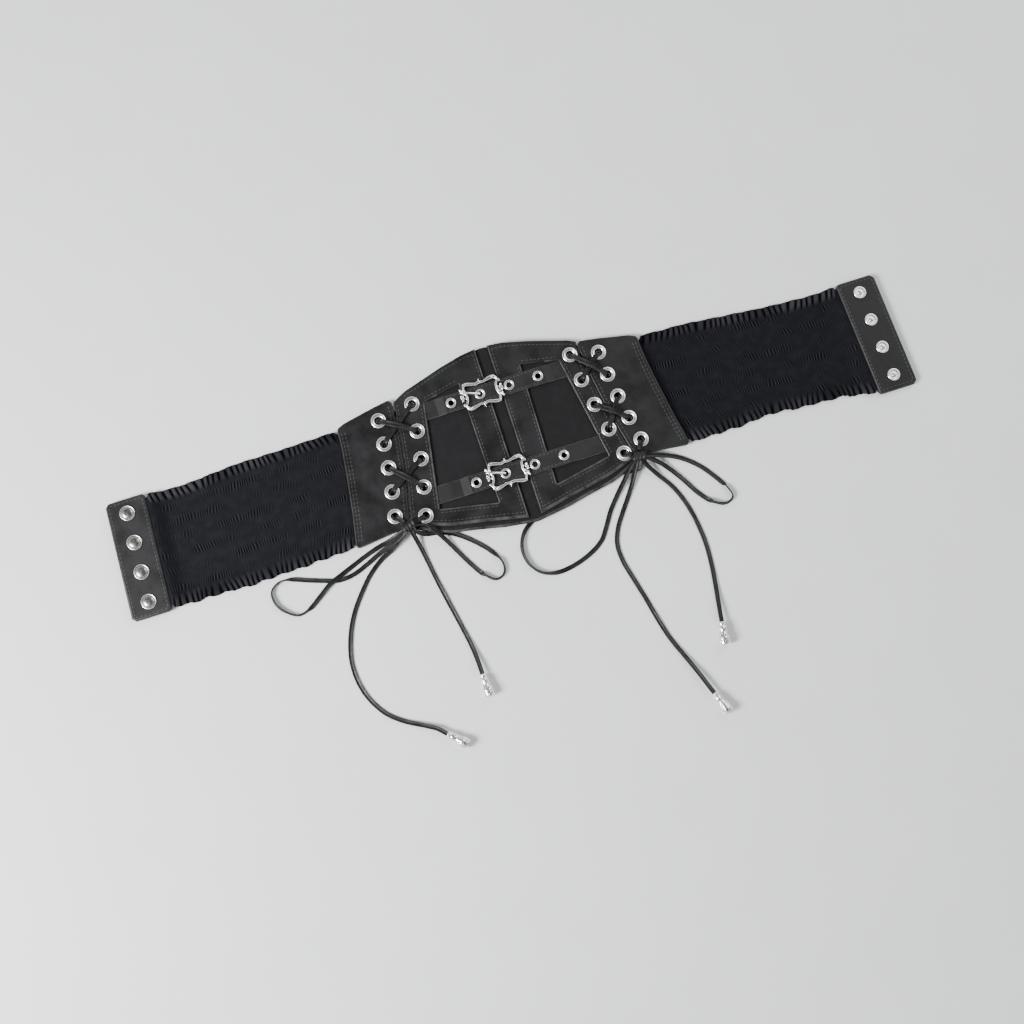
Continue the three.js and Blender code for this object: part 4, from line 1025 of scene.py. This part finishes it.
# %% One elastic side
def draped(name, side, run, share):
    """Places in mm and shades of the cloth; run goes from wing to tab, share from edge to edge."""
    tab_y, tab_top = TABS[name]
    table = np.array(DRAPES[name])
    inside = np.clip(run, 0, 1)
    from_wing, from_tab = inside * FREE_LENGTH, (1 - inside) * FREE_LENGTH
    free = step(np.minimum(from_wing, from_tab), 0, 4)
    half = SIDE_HEIGHT * np.interp(inside, table[:, 0], table[:, 2])
    middle = SIDE_MIDDLE + (tab_y - SIDE_MIDDLE) * np.interp(inside, table[:, 0], table[:, 1])
    x = run * FREE_LENGTH
    edge = step(np.abs(share) * half, half - RUFFLE, half) * np.where(share > 0, 0.35, 1)
    wave = edge * (0.7 * np.sin(x / 2.6 + 3 * share) * free + 0.6 * sway(x, 0, 2 + share))
    tall = (TUCKED_HALF + (half - TUCKED_HALF) * free) * share + wave * np.sign(share)
    y = middle + tall
    wing_x = np.interp(-y, [-place[1] for place in WING_OUTER], [place[0] for place in WING_OUTER])
    wing_x = wing_x - side * WING_SHIFT
    tab_x = tab_middle(y, tab_y) - TAB_INNER
    place_x = wing_x + (tab_x - wing_x) * inside + (run - inside) * FREE_LENGTH
    to_wing, to_tab = 1 - step(from_wing, 0, 8), 1 - step(from_tab, 0, 16)
    lift = 0.7 * to_wing + (tab_top - 2.3) * to_tab
    inner = half - np.abs(tall)
    ridges, shade = gathers(x, tall)
    frill, pleat, pale = pleats(x, share, inner)
    seam = SEAM_HEIGHT * np.exp(-((inner - RUFFLE - 2) / 1.6) ** 2)
    relief = 0.25 * (1 + sway(x, y, 5)) + ridges + PLEAT_HEIGHT * frill * pleat + seam
    # Painted shade between the pleats and a painted highlight on them.
    shade = shade * (1 - frill) + frill * ((0.9 + pale) * pleat - 0.9)
    return side * place_x, y, 0.5 + lift + free * relief, free * shade


def elastic_side(name, side):
    """One gathered band: a fine grid that is draped, given painted shade and highlight, and a wall.
    """
    bm = bmesh.new()
    uv = bm.loops.layers.uv.new("UVMap")
    bmesh.ops.create_grid(bm, x_segments=430, y_segments=84, size=1, calc_uvs=True)
    grid = np.array([vert.co[:2] for vert in bm.verts])
    reach = TUCK / FREE_LENGTH
    run = (grid[:, 0] + 1) / 2 * (1 + 2 * reach) - reach
    painted_light_layer = bm.verts.layers.float.new("shade")
    for vert, (x, y, z, shade) in zip(bm.verts, zip(*draped(name, side, run, grid[:, 1]))):
        vert.co = Vector((x, y, z)) * MM
        vert[painted_light_layer] = shade
    for face in bm.faces:
        for loop in face.loops:
            loop[uv].uv = (loop[uv].uv.x * 0.19, loop[uv].uv.y * 0.1)
    bmesh.ops.recalc_face_normals(bm, faces=bm.faces)
    if sum(face.normal.z for face in bm.faces) < 0:
        bmesh.ops.reverse_faces(bm, faces=bm.faces)
    bmesh.ops.solidify(bm, geom=bm.faces, thickness=CLOTH_WALL * MM)
    low = min(vert.co.z for vert in bm.verts)
    bmesh.ops.translate(bm, vec=(0, 0, max(FLOOR_GAP * MM - low, 0)), verts=bm.verts)
    piece = keep(f"elastic_{name}_cloth", bm, elastic_cloth, f"elastic_{name}", sharp=80)


for name, side in SIDES.items():
    elastic_side(name, side)

# %% [markdown]
# The eyelets of the lacing are nickel rings rolled over the leather: a broad rounded rim, a throat
# darkened by painted shade, and a small flange on the back. One profile spun round gives them all.

# %% Lacing eyelets
EYELET = [(2.65, 1.55), (4.6, 1.55), (4.6, 1.8), (4.3, 2.1), (3.2, 2.15), (3.2, 5.62),
          (6.1, 5.62), (6.3, 5.74), (6.28, 5.92), (6.1, 6.17), (5.75, 6.38), (5.3, 6.5),
          (4.8, 6.55), (4.3, 6.48), (3.85, 6.28), (3.45, 5.92), (3.1, 5.4), (2.8, 4.7),
          (2.65, 4), (2.65, 1.55)]


def ring_piece(name, profile, x, y, steps):
    """Spins a nickel ring at x, y and paints shade into its throat."""
    bm = spun(profile, steps)
    shade_and_tarnish = bm.loops.layers.float.new("shade_and_tarnish")
    inner = profile[0][0] * 1.22 * MM
    # Painted shade in the throat of the ring.
    mark([f for f in bm.faces if f.calc_center_median().xy.length < inner], shade_and_tarnish, 0.85)
    keep(f"{name}_ring", moved(bm, Matrix.Translation((x * MM, y * MM, 0))), nickel_plate,
         name)


for side in ("left", "right"):
    for which in ("inner", "outer"):
        for i, place in enumerate(column(side, which), 1):
            ring_piece(f"lace_eyelet_{side}_{which}_{i}", EYELET, place.x, place.y, 40)

# %% [markdown]
# The straps carry four smaller eyelets each, of the same make.

# %% Strap eyelets
STRAP_EYELET = [(2, 5.95), (2.5, 5.95), (2.5, 7.12), (4.2, 7.12), (4.35, 7.2), (4.32, 7.35),
                (4.1, 7.6), (3.8, 7.78), (3.45, 7.85), (3.05, 7.8), (2.65, 7.58), (2.35, 7.25),
                (2.12, 6.8), (2, 6.4), (2, 5.95)]
STRAP_HOLES = (-37.2, -12.4, 12.4, 37.2)
for row, y in STRAPS.items():
    for i, x in enumerate(STRAP_HOLES, 1):
        ring_piece(f"strap_eyelet_{row}_{i}", STRAP_EYELET, x, y, 32)

# %% [markdown]
# The left tab has four snap caps: a rolled rim round a low dome on the face, and the socket below
# the tab. The right tab has the mating studs: a ring with a nub in its middle, and a flat plate
# behind. The domes are darkened inside their rims by a painted dark reflection.

# %% Snaps
CAP = [(0, 1.9), (2.3, 1.9), (2.3, 0.4), (2.7, 0), (4.8, 0), (5.2, 0.4), (5.2, 2.7), (4.9, 3),
       (1.6, 3), (1.6, 7.2), (5.95, 7.2), (6.25, 7.4), (6.22, 7.7), (6, 7.92), (5.7, 7.98),
       (5.4, 7.85), (5.22, 7.72), (5.1, 7.85), (4.9, 8.2), (4.3, 8.7), (3.4, 9.1), (2.3, 9.32),
       (1.1, 9.4), (0, 9.42)]
STUD = [(0, 0), (4.7, 0), (5, 0.25), (5, 0.6), (4.8, 0.8), (1.6, 0.8), (1.6, 5), (4.9, 5),
        (5.15, 5.2), (5.1, 5.55), (4.75, 5.85), (4.3, 5.9), (3.9, 5.75), (3.5, 5.4), (3.1, 5.3),
        (2.2, 5.3), (1.8, 5.42), (1.7, 6.2), (1.8, 6.7), (2, 7), (1.95, 7.3), (1.6, 7.54),
        (0.8, 7.6), (0, 7.6)]
for i in range(1, 5):
    for name, profile in ((f"snap_cap_{i}", CAP), (f"snap_stud_{i}", STUD)):
        place = centre_of(name)
        bm = spun(profile, 48)
        shade_and_tarnish = bm.loops.layers.float.new("shade_and_tarnish")
        # A painted dark reflection on each cap's dome, inside its rim.
        mark([f for f in bm.faces if f.calc_center_median().z > 7.6 * MM
              and f.calc_center_median().xy.length < 5.3 * MM], shade_and_tarnish, 0.65)
        moved(bm, Matrix.Translation((place.x * MM, place.y * MM, 0)))
        keep(f"{name}_turned", bm, nickel_plate, name)

# %% [markdown]
# The buckles are cast in a scrolled, beaded frame. The casting is built from its own skeleton: two
# long bars that swell and thin, bent side bars, and beads where they meet. One half is drawn, and
# the other is the same turned round by half a turn. A voxel remesh melts the bars and beads into
# one casting, and the hollows between them are found from the shape and darkened: partly patina,
# partly painted shade.

# %% One buckle casting, centred on the origin
BARS = [
    [(-13.3, 9.5, 1.1), (-11.4, 10.3, 1.35), (-6.9, 9.4, 1.3), (-3, 8.5, 1.1), (0.1, 9.1, 1.2),
     (3.2, 8.7, 0.95), (6.4, 9.4, 1.15), (10.3, 10.3, 1.5), (13, 10.1, 1.5), (14.5, 8.3, 1.1),
     (15.6, 6.5, 1.0), (16.8, 6.1, 0.9)],
    [(15.3, 6.4, 0.9), (13.8, 5.3, 0.9), (12.8, 2.6, 0.95), (12.6, -0.1, 1.0), (13, -3.1, 0.9),
     (13.8, -6.1, 0.9), (13.3, -8.7, 1.0), (12.6, -10.1, 1.2)],
    [(13.4, -3.6, 0.8), (15, -4.2, 0.8), (16.4, -6.6, 0.8)],
    [(0.1, 9.2, 1.0), (0.3, 10.8, 0.7), (0.5, 12.1, 0.3)],
]
BAR_WIDTH, EYE, EYE_RADIUS = 0.92, (14.1, -0.6), 1.7
KNOBS = [(0.2, 9.3, 1.5), (16.8, -0.2, 1.3), (16.6, 2.2, 1.15), (17, -1.9, 1.0),
         (16, -4.4, 1.2), (16.7, -7.1, 1.1), (12.5, -10.2, 1.55), (16.4, 5.9, 1.2),
         (-11.4, 10.3, 1.5), (11.6, 10.3, 1.65)]
CAST_LOW, CAST_HIGH = 7.15, 9.75
BUCKLE_X, BUCKLE_RISE, PRONG_X, PRONG_LEAN = -10.7, 0.3, -11.2, 0.3


def round_section(radius, count=10):
    """Round section of a bar, in mm."""
    return [(radius * math.cos(t), radius * math.sin(t))
            for t in np.linspace(0, math.tau, count, endpoint=False)]


def fused(name, bm, voxel, smoothing):
    """Melts overlapping closed shapes into one skin, and gives it back as a bmesh."""
    mesh = bpy.data.meshes.new(name)
    bm.to_mesh(mesh)
    bm.free()
    lump = bpy.data.objects.new(name, mesh)
    bpy.context.collection.objects.link(lump)
    melt = lump.modifiers.new("melt", "REMESH")
    melt.mode, melt.voxel_size = "VOXEL", voxel * MM
    soft = lump.modifiers.new("soft", "SMOOTH")
    soft.factor, soft.iterations = 0.5, smoothing
    bpy.context.view_layer.update()
    result = bmesh.new()
    result.from_object(lump, bpy.context.evaluated_depsgraph_get())
    bpy.data.objects.remove(lump)
    return result


def tarnish_and_shade_hollows(bm, strength):
    """Darkens hollow places with patina and painted shade: where the neighbours of a vertex stand
    above it.
    """
    depth = {}
    for vert in bm.verts:
        near = [edge.other_vert(vert).co for edge in vert.link_edges]
        mean = sum(near, Vector()) / len(near)
        depth[vert] = (mean - vert.co).dot(vert.normal) / MM
    for _ in range(3):
        depth = {v: (depth[v] + sum(depth[e.other_vert(v)] for e in v.link_edges))
                 / (1 + len(v.link_edges)) for v in bm.verts}
    shade_and_tarnish = bm.loops.layers.float.new("shade_and_tarnish")
    for face in bm.faces:
        for loop in face.loops:
            loop[shade_and_tarnish] = min(max(depth[loop.vert] * strength, 0), 1)


def buckle(row, y):
    """Casts the buckle of one strap, at the height y of its middle line."""
    cast = bmesh.new()
    middle = (CAST_LOW + CAST_HIGH) / 2
    for turn in (1, -1):
        for bar in BARS:
            rows = [(turn * a * MM, turn * b * MM, middle * MM, 0, 0, 1, r * BAR_WIDTH)
                    for a, b, r in bar]
            sweep(rows, round_section(1.25), 0.0005, cast)
        for a, b, r in KNOBS:
            place = Matrix.Translation(Vector((turn * a, turn * b, middle)) * MM)
            bmesh.ops.create_icosphere(cast, subdivisions=2, radius=r * MM, matrix=place)
        eye = [(EYE[0] + EYE_RADIUS * math.cos(t), EYE[1] + EYE_RADIUS * math.sin(t))
               for t in np.linspace(0, 6.28, 13)]
        rows = flat_rows([(turn * a, turn * b, middle + 0.3) for a, b in eye])
        merge(cast, sweep(rows, round_section(0.62), 0.0004))
    bm = fused(f"buckle_{row}_lump", cast, 0.34, 2)
    # Patina with painted shade in the hollows between bars and beads.
    tarnish_and_shade_hollows(bm, 14.0)
    moved(bm, Matrix.Translation((BUCKLE_X * MM, (y + BUCKLE_RISE) * MM, 0)))
    keep(f"buckle_{row}_casting", bm, cast_silver, f"buckle_{row}")


# %% Buckles and prongs
PRONG = [(-16.8, 7.9, 0.7), (-16.4, 9.6, 0.95), (-14.4, 10.7, 1.05), (-10.5, 10.9, 0.95),
         (-6, 9.9, 0.8), (-3.4, 9.1, 0.72), (-1.2, 8.5, 0.6)]
for row, y in STRAPS.items():
    buckle(row, y)
    rows = [((x + PRONG_X) * MM, (y - PRONG_LEAN * (x + 1.2)) * MM, z * MM, 0, 1, 0, r)
            for x, z, r in PRONG]
    bar = sweep(rows, round_section(0.9, 12), 0.0006)
    keep(f"prong_{row}_bar", bar, cast_silver, f"prong_{row}")

# %% [markdown]
# The belt lies on a pale, slightly uneven surface under soft studio light. A large lamp on the left
# gives soft shadows to the right; the surroundings are darker overhead than near the horizon, so
# the round metal shows a bright rim and a dark middle, as in the photograph.

# %% Floor
floor_bm = bmesh.new()
bmesh.ops.create_grid(floor_bm, x_segments=4, y_segments=4, size=4)
floor_mesh = bpy.data.meshes.new("floor")
floor_bm.to_mesh(floor_mesh)
floor_bm.free()
floor = bpy.data.objects.new("floor", floor_mesh)
bpy.context.collection.objects.link(floor)
pale_floor, tree, shader, where = new_material("pale_floor", "Object")
fill(tree, shader, {
    "Base Color": mixed(tree, noise_at(tree, where, 16.0, 9.0), (0.76, 0.77, 0.77),
                        (0.82, 0.83, 0.83)),
    "Roughness": 0.55})
floor_mesh.materials.append(pale_floor)

# %% Light
LAMP_TARGET = Vector((0, -0.06, 0))
world = bpy.data.worlds.new("studio")
bpy.context.scene.world = world
world.use_nodes = True
tree = world.node_tree
ways = add(tree, "TexCoord").outputs["Generated"]
height = add(tree, "SeparateXYZ", {"Vector": ways}).outputs["Z"]
fill(tree, tree.nodes["Background"], {
    "Strength": ranged(tree, height, 0.35, 0.92, 1.05, 0.18, interpolation_type="SMOOTHSTEP"),
    "Color": (0.97, 0.99, 1.0, 1)})


def lamp(name, place, size, power):
    """A square lamp that is aimed at the belt."""
    light = bpy.data.lights.new(name, "AREA")
    light.shape, light.size, light.energy = "SQUARE", size, power
    made = bpy.data.objects.new(name, light)
    made.location = place
    made.rotation_euler = (LAMP_TARGET - made.location).to_track_quat("-Z", "Y").to_euler()
    bpy.context.collection.objects.link(made)


lamp("key", (-1.3, -0.25, 1.1), 0.6, 60)
lamp("fill", (1.2, 0.7, 1.5), 1.2, 17)
